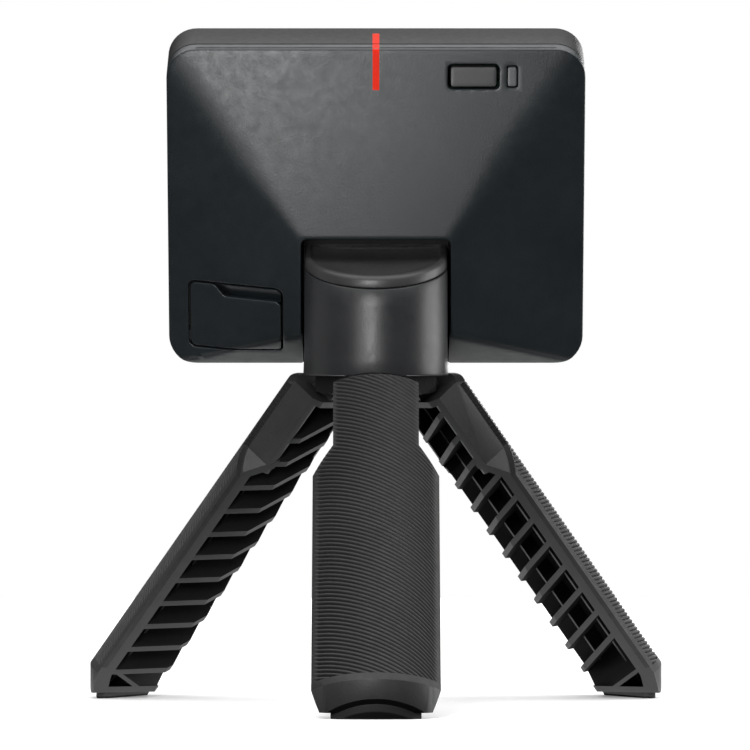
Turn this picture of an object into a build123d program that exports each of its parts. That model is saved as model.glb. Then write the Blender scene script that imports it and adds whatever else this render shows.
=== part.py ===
from build123d import *
import os
from math import cos, radians, sin, sqrt, tan

# Launch monitor: a small tilted radar unit that docks on a magnetic mount, which
# screws on a mini tripod whose three legs fold together into a round handle.
# Millimetres, +Z up, the unit's tilted back faces -Y. Z = 0 is the floor.

# ---------------------------------------------------------------- driving dimensions
AXIS_Y = 13.45             # Y of the tripod's upright axis
UNIT_TILT = 19.5           # degrees the unit leans back from upright
DOCK_Z = 83.65             # height of the unit's flat rear plateau on the axis

UNIT_WIDTH = 89.0
UNIT_HEIGHT = 70.5
UNIT_LOW_V = -14.8         # lower edge of the unit, along its own height
UNIT_CORNER = 6.2
PYRAMID_W = -9.0           # depth where the four sloping facets meet the side band
REAR_END_W = -12.8         # front end of the rear housing
FRONT_START_W = -13.2
COVER_STEP_W = -24.0
COVER_SEAT_W = -25.0
COVER_FACE_W = -26.0
SHELL_WALL = 1.7
POST_FRONT_W = -22.0       # front end of the frame's screw posts
SCREW_LENGTH = 11.5
SCREW_HEAD_RADIUS = 1.9
SCREW_HEAD_HEIGHT = 1.4
SCREW_PILOT_RADIUS = 1.0

PLATEAU_WIDTH = 32.4
PLATEAU_LOW_V = -5.3
PLATEAU_HIGH_V = 16.5
RECESS_HALF = 16.2
RECESS_DEPTH = 10.0
RECESS_WALL = 1.4

BUTTON_X = 20.7
BUTTON_V = 50.0
BUTTON_OPENING = (10.9, 5.2)
BUTTON_GAP = 0.45
BUTTON_TRAVEL = 0.5
LED_X = 28.9
LED_SLOT = (2.3, 4.6)
PIPE_LENGTH = 3.6
STRIPE_WIDTH = 1.4
STRIPE_LOW_V = 47.3
STRIPE_END_W = -20.6
STRIPE_DEPTH = 0.4

PORT_LEFT_X = -39.7
PORT_RIGHT_X = -20.3
PORT_LOW_V = -10.0
PORT_HIGH_V = 4.2
PORT_NOTCH_X = -33.7
PORT_NOTCH_DEPTH = 2.6
PORT_NOTCH_SLANT = 1.6
PORT_GAP = 0.4
PORT_SKIN = 1.5
PORT_CUT_DEPTH = 10.2
PORT_SCOOP_DEPTH = 0.8
PORT_PAD_X = (-35.5, -25.5)
PORT_PAD_V = (-5.4, -0.8)
USB_X = (-34.5, -26.5)
USB_V = (-4.6, -1.6)
USB_REAR_W = -8.8

BOARD_W = -13.0            # rear face of the main board
BOARD_THICKNESS = 1.0
SHIELD_X = (-37.0, -21.0)
SHIELD_V = (0.0, 18.0)
SHIELD_HEIGHT = 1.8
SHIELD_WALL = 0.2
BATTERY_X = (-16.0, 32.0)
BATTERY_V = (-8.0, 28.0)
BATTERY_FRONT_W = -19.6
BATTERY_PAD = 0.4          # thickness of the battery's foam pad
ANTENNA_X = 34.0           # half width of the antenna board
ANTENNA_V = (-4.0, 45.0)
PATCH_SIZE = (6.2, 5.0)
PATCH_SPACING = (11.0, 9.5)
PATCH_COUNT = (5, 4)
PATCH_THICKNESS = 0.1

NECK_RADIUS = 15.5
NECK_HALF = 15.25          # half width of the neck's straight sides in the recess
NECK_LOW_Z = 69.95
SKIRT_INNER_RADIUS = 13.3
SKIRT_STRAIGHT_Z = 72.0    # above this the skirt's inside narrows like a cone
SKIRT_TOP_RADIUS = 11.0
SKIRT_CEILING_Z = 78.65
DOCK_FACE_W = -9.7
SEAM_LOW_V = 9.45
SEAM_HIGH_V = 9.7
CAP_TOP_V = 12.0

HUB_RADIUS = 12.9
HUB_STRAIGHT_Z = 71.6
HUB_TOP_RADIUS = 10.6
HUB_LOW_Z = 70.35
HUB_TOP_Z = 78.15
STUD_RADIUS = 3.1
STUD_HEIGHT = 7.6
STUD_SHANK_RADIUS = 2.2    # the stud's end that is pressed into the hub
STUD_SHANK_LENGTH = 6.0
WASHER_BORE_RADIUS = 4.5
WASHER_THICKNESS = 0.4
INSERT_BORE_RADIUS = 3.18

LEG_SPREAD = 39.0          # degrees each leg leans out from upright
PIVOT_RADIUS = 8.0         # leg pin's distance from the tripod axis
PIVOT_Z = 72.15
PIN_RADIUS = 1.5
PIN_HALF = 6.8
LUG_HALF = 3.0
LUG_RADIUS = 4.5
SLOT_HALF = 3.2
SLOT_RADIUS = 4.8
EAR_RADIUS = 6.1

LEG_RADIUS = 15.5          # outer radius of the handle that the closed legs form
LEG_GAP = 0.25             # half the gap between two closed legs
LEG_WALL = 3.3
LEG_TOP_U = 6.9            # distances along a leg are from its pin
LEG_END_U = 91.3
LEG_INNER_N = 4.35         # inner flat of the leg at its pin, and how it tapers
LEG_TAPER = 0.046
NARROW_HALF = 9.0
NARROW_END_U = 25.2
FACET_SLOPE = 1.1
RIB_PITCH = 6.45
RIB_FIRST_U = 14.3
RIB_COUNT = 11
RIB_SLANT = 0.5
RIB_THICKNESS = 1.36
WEB_OFFSET = 5.4
WEB_THICKNESS = 0.8
WEB_INNER_N = 7.8
GRIP_INNER_RADIUS = 14.4
GRIP_TOP_U = 8.0
GRIP_END_GAP = 1.7         # along the leg, from the grip to the toe's upright face
TOE_AXIS = 53.8            # the toe's upright round face, from the tripod axis
TOE_BOTTOM_Z = 1.25
TOE_LOW_HALF = 11.4        # half width of the toe at its bottom, between cut corners
TOE_CORNER_HALF = 13.2     # half width where the cut corners end
TOE_CORNER_Z = 5.0
TOE_FLOOR = 1.3
TOE_WALL_HEIGHT = 9.0
FOOT_HALF = 9.3
FOOT_INNER = 62.3
FOOT_SET_BACK = 1.3        # of the foot's outer edge from the toe's round face
FOOT_END_U = LEG_END_U + 1.3

FAR = 60.0                 # reach of cutting shapes that only need to be large

# ---------------------------------------------------------------- frames
dock = Plane(
    origin=(0, AXIS_Y, DOCK_Z),
    x_dir=(1, 0, 0),
    z_dir=(0, -cos(radians(UNIT_TILT)), -sin(radians(UNIT_TILT))),
)
UNIT_MID_V = UNIT_LOW_V + UNIT_HEIGHT / 2
UNIT_HIGH_V = UNIT_LOW_V + UNIT_HEIGHT
TOP_FACET_RUN = UNIT_HIGH_V - PLATEAU_HIGH_V
SIDE_FACET_RUN = UNIT_WIDTH / 2 - PLATEAU_WIDTH / 2

leg_u = Vector(0, -sin(radians(LEG_SPREAD)), -cos(radians(LEG_SPREAD)))
leg_n = Vector(0, -cos(radians(LEG_SPREAD)), sin(radians(LEG_SPREAD)))
pivot = Vector(0, AXIS_Y - PIVOT_RADIUS, PIVOT_Z)
leg_frame = Plane(origin=pivot - leg_n * PIVOT_RADIUS, x_dir=(1, 0, 0), z_dir=leg_u)
leg_side = Plane(origin=leg_frame.origin, x_dir=(1, 0, 0), z_dir=leg_n * -1)
toe_u = (leg_frame.origin.Y - AXIS_Y + TOE_AXIS) / sin(radians(LEG_SPREAD))
half_lean = radians(LEG_SPREAD / 2)
grip_end = Plane(
    origin=leg_frame.origin + leg_u * (toe_u - GRIP_END_GAP),
    x_dir=(1, 0, 0),
    z_dir=(0, sin(half_lean), cos(half_lean)),
)
tripod_axis = Axis((0, AXIS_Y, 0), (0, 0, 1))
LEG_TURNS = {"front": 0, "right": 120, "left": 240}

os.makedirs("parts", exist_ok=True)


def dock_point(x, v, w):
    return dock.from_local_coords(Vector(x, v, w))


def unit_outline(inset, corner, mode=Mode.ADD):
    with Locations((0, UNIT_MID_V)):
        RectangleRounded(UNIT_WIDTH - 2 * inset, UNIT_HEIGHT - 2 * inset, corner, mode=mode)


def dock_box(x_range, v_range, w_range, mode=Mode.ADD, corner=0.0):
    """A block with its faces along the unit's own width, height and depth."""
    width = x_range[1] - x_range[0]
    height = v_range[1] - v_range[0]
    with BuildSketch(dock.offset(w_range[0])) as profile:
        with Locations(((x_range[0] + x_range[1]) / 2, (v_range[0] + v_range[1]) / 2)):
            if corner:
                RectangleRounded(width, height, corner)
            else:
                Rectangle(width, height)
    extrude(profile.sketch, amount=w_range[1] - w_range[0], mode=mode)


def centred(middle, length):
    return (middle - length / 2, middle + length / 2)


def facet_w(x, v):
    """Depth of the rear shell's outer surface, the lowest of its five faces."""
    side = PYRAMID_W * (1 - (UNIT_WIDTH / 2 - abs(x)) / SIDE_FACET_RUN)
    top = PYRAMID_W * (1 - (UNIT_HIGH_V - v) / TOP_FACET_RUN)
    bottom = PYRAMID_W * (1 - (v - UNIT_LOW_V) / (PLATEAU_LOW_V - UNIT_LOW_V))
    return min(side, top, bottom, 0)


# ---------------------------------------------------------------- radar unit: housings
with BuildPart() as rear_outer:
    with BuildSketch(dock.offset(PYRAMID_W)):
        unit_outline(0, UNIT_CORNER)
    with BuildSketch(dock):
        with Locations((0, (PLATEAU_LOW_V + PLATEAU_HIGH_V) / 2)):
            RectangleRounded(PLATEAU_WIDTH, PLATEAU_HIGH_V - PLATEAU_LOW_V, 2.0)
    loft(ruled=True)
    with BuildSketch(dock.offset(REAR_END_W)):
        unit_outline(0, UNIT_CORNER)
    extrude(amount=PYRAMID_W - REAR_END_W)

with BuildPart() as rear_cavity:
    with BuildSketch(dock.offset(PYRAMID_W - 1.2)):
        unit_outline(SHELL_WALL, UNIT_CORNER - SHELL_WALL)
    with BuildSketch(dock.offset(-SHELL_WALL)):
        with Locations((0, (PLATEAU_LOW_V + PLATEAU_HIGH_V) / 2 + 0.6)):
            RectangleRounded(PLATEAU_WIDTH - 2, PLATEAU_HIGH_V - PLATEAU_LOW_V - 3, 1.0)
    loft(ruled=True)
    with BuildSketch(dock.offset(REAR_END_W - 1)):
        unit_outline(SHELL_WALL, UNIT_CORNER - SHELL_WALL)
    extrude(amount=PYRAMID_W - 1.2 - REAR_END_W + 1)

POST_X = UNIT_WIDTH / 2 - 4.8
POST_VS = (UNIT_LOW_V + 4.8, UNIT_HIGH_V - 4.8)
POST_SPOTS = [(x, v) for x in (-POST_X, POST_X) for v in POST_VS]
POST_RADIUS = 3.0
BOARD_SPOTS = [(-36.0, 22.0), (36.0, 22.0), (-12.0, 40.0), (12.0, 40.0)]
BOARD_BOSS_RADIUS = 2.2

with BuildPart() as rear_supports:
    for spot in POST_SPOTS:
        with BuildSketch(dock.offset(REAR_END_W)):
            with Locations(spot):
                Circle(POST_RADIUS)
        extrude(amount=-REAR_END_W)
    for spot in BOARD_SPOTS:
        with BuildSketch(dock.offset(BOARD_W)):
            with Locations(spot):
                Circle(BOARD_BOSS_RADIUS)
        extrude(amount=-BOARD_W)
    dock_box(
        (-RECESS_HALF - RECESS_WALL, RECESS_HALF + RECESS_WALL),
        (UNIT_LOW_V, PLATEAU_HIGH_V + RECESS_WALL),
        (-RECESS_DEPTH - RECESS_WALL, 0),
    )

FACET_ANGLE = -PYRAMID_W / TOP_FACET_RUN
facet_length = sqrt(1 + FACET_ANGLE**2)
facet_normal = (dock.y_dir * FACET_ANGLE + dock.z_dir) * (1 / facet_length)
button_plane = Plane(
    origin=dock_point(BUTTON_X, BUTTON_V, facet_w(BUTTON_X, BUTTON_V)),
    x_dir=(1, 0, 0),
    z_dir=facet_normal,
)
led_plane = Plane(
    origin=dock_point(LED_X, BUTTON_V, facet_w(LED_X, BUTTON_V)),
    x_dir=(1, 0, 0),
    z_dir=facet_normal,
)
stripe_plane = Plane(
    origin=dock_point(0, UNIT_HIGH_V, PYRAMID_W),
    x_dir=(1, 0, 0),
    z_dir=facet_normal,
)


def port_outline(grow):
    """The flap's outline: a rectangle with a lowered edge for a fingernail."""
    with BuildLine() as edge:
        Polyline(
            (PORT_LEFT_X - grow, PORT_LOW_V - grow),
            (PORT_RIGHT_X + grow, PORT_LOW_V - grow),
            (PORT_RIGHT_X + grow, PORT_HIGH_V - PORT_NOTCH_DEPTH + grow),
            (PORT_NOTCH_X + PORT_NOTCH_SLANT + grow, PORT_HIGH_V - PORT_NOTCH_DEPTH + grow),
            (PORT_NOTCH_X + grow, PORT_HIGH_V + grow),
            (PORT_LEFT_X - grow, PORT_HIGH_V + grow),
            close=True,
        )
    make_face(edge.edges())


with BuildPart() as port_scoop:
    scoop_x = (PORT_NOTCH_X + 2.2, PORT_RIGHT_X + PORT_GAP)
    scoop_v = (PORT_HIGH_V - PORT_NOTCH_DEPTH, PORT_HIGH_V + PORT_GAP)
    dock_box(scoop_x, scoop_v, (REAR_END_W, 1))
    add(rear_outer.part.moved(Location(dock.z_dir * -PORT_SCOOP_DEPTH)), mode=Mode.SUBTRACT)

with BuildPart() as rear_housing:
    add(rear_outer.part)
    add(rear_cavity.part, mode=Mode.SUBTRACT)
    with BuildPart(mode=Mode.PRIVATE) as supports:
        add(rear_supports.part)
        add(rear_outer.part, mode=Mode.INTERSECT)
    add(supports.part)
    # recess that the mount's neck stands in, open at the unit's lower edge
    recess_v = (UNIT_LOW_V - 5, PLATEAU_HIGH_V)
    dock_box((-RECESS_HALF, RECESS_HALF), recess_v, (-RECESS_DEPTH, 5), Mode.SUBTRACT, 1.5)
    # power button and status light openings, square to the top facet
    with BuildSketch(button_plane):
        RectangleRounded(BUTTON_OPENING[0], BUTTON_OPENING[1], 1.0)
    extrude(amount=3.5, both=True, mode=Mode.SUBTRACT)
    with BuildSketch(led_plane):
        RectangleRounded(LED_SLOT[0], LED_SLOT[1], 0.7)
    extrude(amount=3.5, both=True, mode=Mode.SUBTRACT)
    # groove of the alignment stripe down the top facet and over the top edge
    with BuildSketch(stripe_plane.offset(-STRIPE_DEPTH)):
        with Locations((0, -(UNIT_HIGH_V - STRIPE_LOW_V) / 2 * facet_length + 1.0)):
            Rectangle(STRIPE_WIDTH, (UNIT_HIGH_V - STRIPE_LOW_V) * facet_length + 2.0)
    extrude(amount=2, mode=Mode.SUBTRACT)
    dock_box(
        centred(0, STRIPE_WIDTH),
        (UNIT_HIGH_V - STRIPE_DEPTH, UNIT_HIGH_V + 1),
        (REAR_END_W - 1, PYRAMID_W + 1),
        Mode.SUBTRACT,
    )
    # charging port opening, and the fingernail scoop beside its flap
    with BuildSketch(dock.offset(1)):
        port_outline(PORT_GAP)
    extrude(amount=PORT_CUT_DEPTH + 1, dir=dock.z_dir * -1, mode=Mode.SUBTRACT)
    add(port_scoop.part, mode=Mode.SUBTRACT)
    # screw pilots in the corner posts and in the board bosses
    for spot in POST_SPOTS:
        with BuildSketch(dock.offset(REAR_END_W)):
            with Locations(spot):
                Circle(SCREW_PILOT_RADIUS)
        extrude(amount=3.0, mode=Mode.SUBTRACT)
    for spot in BOARD_SPOTS:
        with BuildSketch(dock.offset(BOARD_W)):
            with Locations(spot):
                Circle(0.8)
        extrude(amount=2.6, mode=Mode.SUBTRACT)
rear_housing.part.label = "rear_housing"
export_step(rear_housing.part, "parts/rear_housing.step")

with BuildPart() as housing_seal:
    with BuildSketch(dock.offset(FRONT_START_W)):
        unit_outline(0.7, UNIT_CORNER - 0.7)
        unit_outline(SHELL_WALL, UNIT_CORNER - SHELL_WALL, Mode.SUBTRACT)
    extrude(amount=REAR_END_W - FRONT_START_W)
housing_seal.part.label = "housing_seal"
export_step(housing_seal.part, "parts/housing_seal.step")

FRAME_WALL = 2.0
with BuildPart() as front_housing:
    with BuildSketch(dock.offset(COVER_SEAT_W)):
        unit_outline(0, UNIT_CORNER)
    extrude(amount=FRONT_START_W - COVER_SEAT_W)
    with BuildSketch(dock.offset(COVER_SEAT_W)):
        unit_outline(FRAME_WALL, UNIT_CORNER - FRAME_WALL)
    extrude(amount=FRONT_START_W - COVER_SEAT_W, mode=Mode.SUBTRACT)
    for spot in POST_SPOTS:
        with BuildSketch(dock.offset(POST_FRONT_W)):
            with Locations(spot):
                Circle(POST_RADIUS)
        extrude(amount=FRONT_START_W - POST_FRONT_W)
    for spot in POST_SPOTS:
        with BuildSketch(dock.offset(POST_FRONT_W)):
            with Locations(spot):
                Circle(SCREW_PILOT_RADIUS)
        extrude(amount=FRONT_START_W - POST_FRONT_W, mode=Mode.SUBTRACT)
    dock_box(
        centred(0, STRIPE_WIDTH),
        (UNIT_HIGH_V - STRIPE_DEPTH, UNIT_HIGH_V + 1),
        (STRIPE_END_W, FRONT_START_W + 1),
        Mode.SUBTRACT,
    )
front_housing.part.label = "front_housing"
export_step(front_housing.part, "parts/front_housing.step")

with BuildPart() as front_cover:
    with BuildSketch(dock.offset(COVER_FACE_W)):
        unit_outline(0.5, UNIT_CORNER - 0.5)
    extrude(amount=COVER_SEAT_W - COVER_FACE_W)
    front_rim = front_cover.faces().sort_by(Axis(dock.origin, dock.z_dir))[0].edges()
    fillet(front_rim, 0.5)
    with BuildSketch(dock.offset(COVER_SEAT_W)):
        unit_outline(FRAME_WALL, UNIT_CORNER - FRAME_WALL)
    extrude(amount=COVER_STEP_W - COVER_SEAT_W)
front_cover.part.label = "front_cover"
export_step(front_cover.part, "parts/front_cover.step")

with BuildPart() as alignment_stripe:
    with BuildSketch(stripe_plane.offset(-STRIPE_DEPTH)):
        with Locations((0, -(UNIT_HIGH_V - STRIPE_LOW_V) / 2 * facet_length)):
            Rectangle(STRIPE_WIDTH, (UNIT_HIGH_V - STRIPE_LOW_V) * facet_length)
    extrude(amount=STRIPE_DEPTH)
    dock_box(
        centred(0, STRIPE_WIDTH),
        (UNIT_HIGH_V - STRIPE_DEPTH, UNIT_HIGH_V),
        (REAR_END_W, PYRAMID_W),
    )
    dock_box(
        centred(0, STRIPE_WIDTH),
        (UNIT_HIGH_V - STRIPE_DEPTH, UNIT_HIGH_V),
        (STRIPE_END_W, FRONT_START_W),
    )
alignment_stripe.part.label = "alignment_stripe"
export_step(alignment_stripe.part, "parts/alignment_stripe.step")

with BuildPart() as housing_screws:
    for spot in POST_SPOTS:
        with BuildSketch(dock.offset(POST_FRONT_W)):
            with Locations(spot):
                Circle(SCREW_PILOT_RADIUS - 0.05)
        extrude(amount=SCREW_LENGTH)
        with BuildSketch(dock.offset(POST_FRONT_W - SCREW_HEAD_HEIGHT)):
            with Locations(spot):
                Circle(SCREW_HEAD_RADIUS)
        extrude(amount=SCREW_HEAD_HEIGHT)
        with BuildSketch(dock.offset(POST_FRONT_W - SCREW_HEAD_HEIGHT)):
            with Locations(spot):
                RegularPolygon(0.75, 6)
        extrude(amount=0.8, mode=Mode.SUBTRACT)
housing_screws.part.label = "housing_screws"
export_step(housing_screws.part, "parts/housing_screws.step")

# ---------------------------------------------------------------- radar unit: controls
KEY_RAISE = 0.25
KEY_SIZE = (BUTTON_OPENING[0] - 2 * BUTTON_GAP, BUTTON_OPENING[1] - 2 * BUTTON_GAP)
SWITCH_TOP_W = -11.5
with BuildPart() as power_button:
    with BuildSketch(button_plane.offset(-1.4)):
        RectangleRounded(KEY_SIZE[0], KEY_SIZE[1], 0.8)
    extrude(amount=1.4 + KEY_RAISE)
    key_rim = power_button.faces().sort_by(Axis(button_plane.origin, facet_normal))[-1].edges()
    chamfer(key_rim, 0.3)
    stem_length = facet_w(BUTTON_X, BUTTON_V) - SWITCH_TOP_W - BUTTON_TRAVEL - 0.2
    with BuildSketch(button_plane.offset(-1.4)):
        Circle(1.2)
    extrude(amount=-(stem_length - 1.4))
power_button.part.label = "power_button"
export_step(power_button.part, "parts/power_button.step")

with BuildPart() as light_pipe:
    with BuildSketch(led_plane):
        RectangleRounded(LED_SLOT[0], LED_SLOT[1], 0.7)
    extrude(amount=-PIPE_LENGTH)
light_pipe.part.label = "light_pipe"
export_step(light_pipe.part, "parts/light_pipe.step")

port_hinge = dock_point(PORT_LEFT_X, PORT_LOW_V, facet_w(PORT_LEFT_X, 0))
with BuildPart() as port_cover:
    with BuildSketch(dock.offset(1)):
        port_outline(0)
    extrude(amount=-REAR_END_W, dir=dock.z_dir * -1)
    add(rear_outer.part, mode=Mode.INTERSECT)
    add(rear_outer.part.moved(Location(dock.z_dir * -PORT_SKIN)), mode=Mode.SUBTRACT)
    # stiffening pad on the flap's inner side, over the port
    with BuildPart(mode=Mode.PRIVATE) as flap_pad:
        dock_box(PORT_PAD_X, PORT_PAD_V, (USB_REAR_W, 0))
        add(rear_outer.part.moved(Location(dock.z_dir * -1.0)), mode=Mode.INTERSECT)
        add(rear_outer.part.moved(Location(dock.z_dir * -1.9)), mode=Mode.SUBTRACT)
    add(flap_pad.part)
port_cover.part.label = "port_cover"
export_step(port_cover.part, "parts/port_cover.step")

# ---------------------------------------------------------------- radar unit: electronics
with BuildPart() as main_board:
    with BuildSketch(dock.offset(BOARD_W - BOARD_THICKNESS)):
        unit_outline(3.0, 3.0)
        with Locations(*POST_SPOTS):
            Circle(POST_RADIUS + 0.6, mode=Mode.SUBTRACT)
        with Locations(*BOARD_SPOTS):
            Circle(0.9, mode=Mode.SUBTRACT)
    extrude(amount=BOARD_THICKNESS)
main_board.part.label = "main_board"
export_step(main_board.part, "parts/main_board.step")

with BuildPart() as board_screws:
    for spot in BOARD_SPOTS:
        with BuildSketch(dock.offset(BOARD_W - BOARD_THICKNESS)):
            with Locations(spot):
                Circle(0.75)
        extrude(amount=3.2)
        with BuildSketch(dock.offset(BOARD_W - BOARD_THICKNESS - 1.0)):
            with Locations(spot):
                Circle(1.6)
        extrude(amount=1.0)
board_screws.part.label = "board_screws"
export_step(board_screws.part, "parts/board_screws.step")

BOARD_FRONT_W = BOARD_W - BOARD_THICKNESS
with BuildPart() as tactile_switch:
    dock_box(centred(BUTTON_X, 4.2), centred(BUTTON_V, 3.2), (BOARD_W, SWITCH_TOP_W))
tactile_switch.part.label = "tactile_switch"
export_step(tactile_switch.part, "parts/tactile_switch.step")

with BuildPart() as status_led:
    dock_box(centred(LED_X, 0.8), centred(BUTTON_V - 0.8, 1.6), (BOARD_W, BOARD_W + 0.7))
status_led.part.label = "status_led"
export_step(status_led.part, "parts/status_led.step")

with BuildPart() as usb_connector:
    dock_box(USB_X, USB_V, (BOARD_W, USB_REAR_W), corner=1.0)
    mouth_x = (USB_X[0] + 0.6, USB_X[1] - 0.6)
    mouth_v = (USB_V[0] + 0.5, USB_V[1] - 0.5)
    dock_box(mouth_x, mouth_v, (-11.5, USB_REAR_W), Mode.SUBTRACT, 0.6)
    dock_box((USB_X[0] + 1.5, USB_X[1] - 1.5), (-3.4, -2.8), (-11.6, USB_REAR_W - 0.6))
usb_connector.part.label = "usb_connector"
export_step(usb_connector.part, "parts/usb_connector.step")

with BuildPart() as board_shield:
    shield_w = (BOARD_FRONT_W - SHIELD_HEIGHT, BOARD_FRONT_W)
    dock_box(SHIELD_X, SHIELD_V, shield_w)
    hollow_x = (SHIELD_X[0] + SHIELD_WALL, SHIELD_X[1] - SHIELD_WALL)
    hollow_v = (SHIELD_V[0] + SHIELD_WALL, SHIELD_V[1] - SHIELD_WALL)
    dock_box(hollow_x, hollow_v, (shield_w[0] + SHIELD_WALL, shield_w[1]), Mode.SUBTRACT)
board_shield.part.label = "board_shield"
export_step(board_shield.part, "parts/board_shield.step")

with BuildPart() as battery_pad:
    pad_x = (BATTERY_X[0] + 4, BATTERY_X[1] - 4)
    pad_v = (BATTERY_V[0] + 2, BATTERY_V[1] - 2)
    dock_box(pad_x, pad_v, (BOARD_FRONT_W - BATTERY_PAD, BOARD_FRONT_W))
battery_pad.part.label = "battery_pad"
export_step(battery_pad.part, "parts/battery_pad.step")

with BuildPart() as battery_cell:
    battery_w = (BATTERY_FRONT_W, BOARD_FRONT_W - BATTERY_PAD)
    dock_box(BATTERY_X, BATTERY_V, battery_w, corner=1.2)
battery_cell.part.label = "battery_cell"
export_step(battery_cell.part, "parts/battery_cell.step")

ANTENNA_REAR_W = -22.6
ANTENNA_FRONT_W = -23.4
with BuildPart() as board_connector:
    dock_box((-30, -18), (38, 42), (ANTENNA_REAR_W, BOARD_FRONT_W))
board_connector.part.label = "board_connector"
export_step(board_connector.part, "parts/board_connector.step")

with BuildPart() as antenna_board:
    antenna_w = (ANTENNA_FRONT_W, ANTENNA_REAR_W)
    dock_box(centred(0, 2 * ANTENNA_X), ANTENNA_V, antenna_w, corner=2.0)
antenna_board.part.label = "antenna_board"
export_step(antenna_board.part, "parts/antenna_board.step")

with BuildPart() as antenna_patches:
    with BuildSketch(dock.offset(ANTENNA_FRONT_W - PATCH_THICKNESS)):
        with Locations((0, (ANTENNA_V[0] + ANTENNA_V[1]) / 2)):
            with GridLocations(*PATCH_SPACING, *PATCH_COUNT):
                Rectangle(*PATCH_SIZE)
    extrude(amount=PATCH_THICKNESS)
antenna_patches.part.label = "antenna_patches"
export_step(antenna_patches.part, "parts/antenna_patches.step")

with BuildPart() as antenna_gasket:
    gasket_w = (COVER_STEP_W, ANTENNA_FRONT_W)
    outer_v = (ANTENNA_V[0] + 1, ANTENNA_V[1] - 1)
    inner_v = (ANTENNA_V[0] + 4, ANTENNA_V[1] - 4)
    dock_box(centred(0, 2 * ANTENNA_X - 2), outer_v, gasket_w, corner=1.5)
    dock_box(centred(0, 2 * ANTENNA_X - 8), inner_v, gasket_w, Mode.SUBTRACT, 1.0)
antenna_gasket.part.label = "antenna_gasket"
export_step(antenna_gasket.part, "parts/antenna_gasket.step")

with BuildPart() as dock_plate:
    plate_rear_w = -RECESS_DEPTH - RECESS_WALL
    dock_box((-13, 13), (-8, 12), (plate_rear_w - 1.0, plate_rear_w), corner=1.0)
dock_plate.part.label = "dock_plate"
export_step(dock_plate.part, "parts/dock_plate.step")

# ---------------------------------------------------------------- magnetic mount


def neck_outline(inset):
    """Round at the back, straight-sided where it stands in the unit's recess."""
    with Locations((0, AXIS_Y)):
        Circle(NECK_RADIUS - inset)
    with Locations((0, AXIS_Y + 8)):
        Rectangle(2 * (NECK_HALF - inset), 16)


def keep_in_slab(v_range, w_low):
    """Keep what lies between two heights of the unit, in front of one depth."""
    with BuildPart(mode=Mode.PRIVATE) as slab:
        dock_box((-FAR, FAR), v_range, (w_low, FAR))
    add(slab.part, mode=Mode.INTERSECT)


STRAIGHT_LOW_Z = 77.0
NECK_WALL = 2.0
BOSS_RADIUS = 7.0
INSERT_RADIUS = 5.0
INSERT_TOP_Z = 86.65
MAGNET_RADIUS = 4.0
MAGNET_X = 8.0
MAGNET_V = 2.5
MAGNET_WS = (DOCK_FACE_W + 1.0, DOCK_FACE_W + 3.0)

with BuildPart() as mount_neck:
    with BuildSketch(Plane.XY.offset(NECK_LOW_Z)):
        with Locations((0, AXIS_Y)):
            Circle(NECK_RADIUS)
    extrude(amount=STRAIGHT_LOW_Z - NECK_LOW_Z)
    with BuildSketch(Plane.XY.offset(STRAIGHT_LOW_Z)):
        neck_outline(0)
    extrude(amount=30)
    keep_in_slab((-FAR, SEAM_LOW_V), DOCK_FACE_W)
    # hollow above the skirt's ceiling
    with BuildPart(mode=Mode.PRIVATE) as neck_hollow:
        with BuildSketch(Plane.XY.offset(SKIRT_CEILING_Z + 2.2)):
            neck_outline(NECK_WALL)
        extrude(amount=30)
        keep_in_slab((-FAR, FAR), DOCK_FACE_W + 3.0)
        with BuildSketch(Plane.XY.offset(SKIRT_CEILING_Z)):
            with Locations((0, AXIS_Y)):
                Circle(BOSS_RADIUS)
        extrude(amount=INSERT_TOP_Z - SKIRT_CEILING_Z, mode=Mode.SUBTRACT)
    add(neck_hollow.part, mode=Mode.SUBTRACT)
    # skirt that hides the tripod's hub, and the seat of the threaded insert
    with BuildSketch(Plane.YZ):
        with Locations((AXIS_Y, 0)):
            Polygon(
                (0, NECK_LOW_Z),
                (SKIRT_INNER_RADIUS, NECK_LOW_Z),
                (SKIRT_INNER_RADIUS, SKIRT_STRAIGHT_Z),
                (SKIRT_TOP_RADIUS, SKIRT_CEILING_Z),
                (0, SKIRT_CEILING_Z),
                align=None,
            )
    revolve(axis=tripod_axis, mode=Mode.SUBTRACT)
    with BuildSketch(Plane.XY.offset(SKIRT_CEILING_Z)):
        with Locations((0, AXIS_Y)):
            Circle(INSERT_RADIUS)
    extrude(amount=INSERT_TOP_Z - SKIRT_CEILING_Z, mode=Mode.SUBTRACT)
    # magnet pockets, open to the hollow
    with BuildSketch(dock.offset(MAGNET_WS[0])):
        with Locations((-MAGNET_X, MAGNET_V), (MAGNET_X, MAGNET_V)):
            Circle(MAGNET_RADIUS)
    extrude(amount=MAGNET_WS[1] - MAGNET_WS[0], mode=Mode.SUBTRACT)
    skirt_rim = mount_neck.faces().sort_by(Axis.Z)[0].outer_wire().edges()
    chamfer(skirt_rim, 0.5)
mount_neck.part.label = "mount_neck"
export_step(mount_neck.part, "parts/mount_neck.step")

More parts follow.
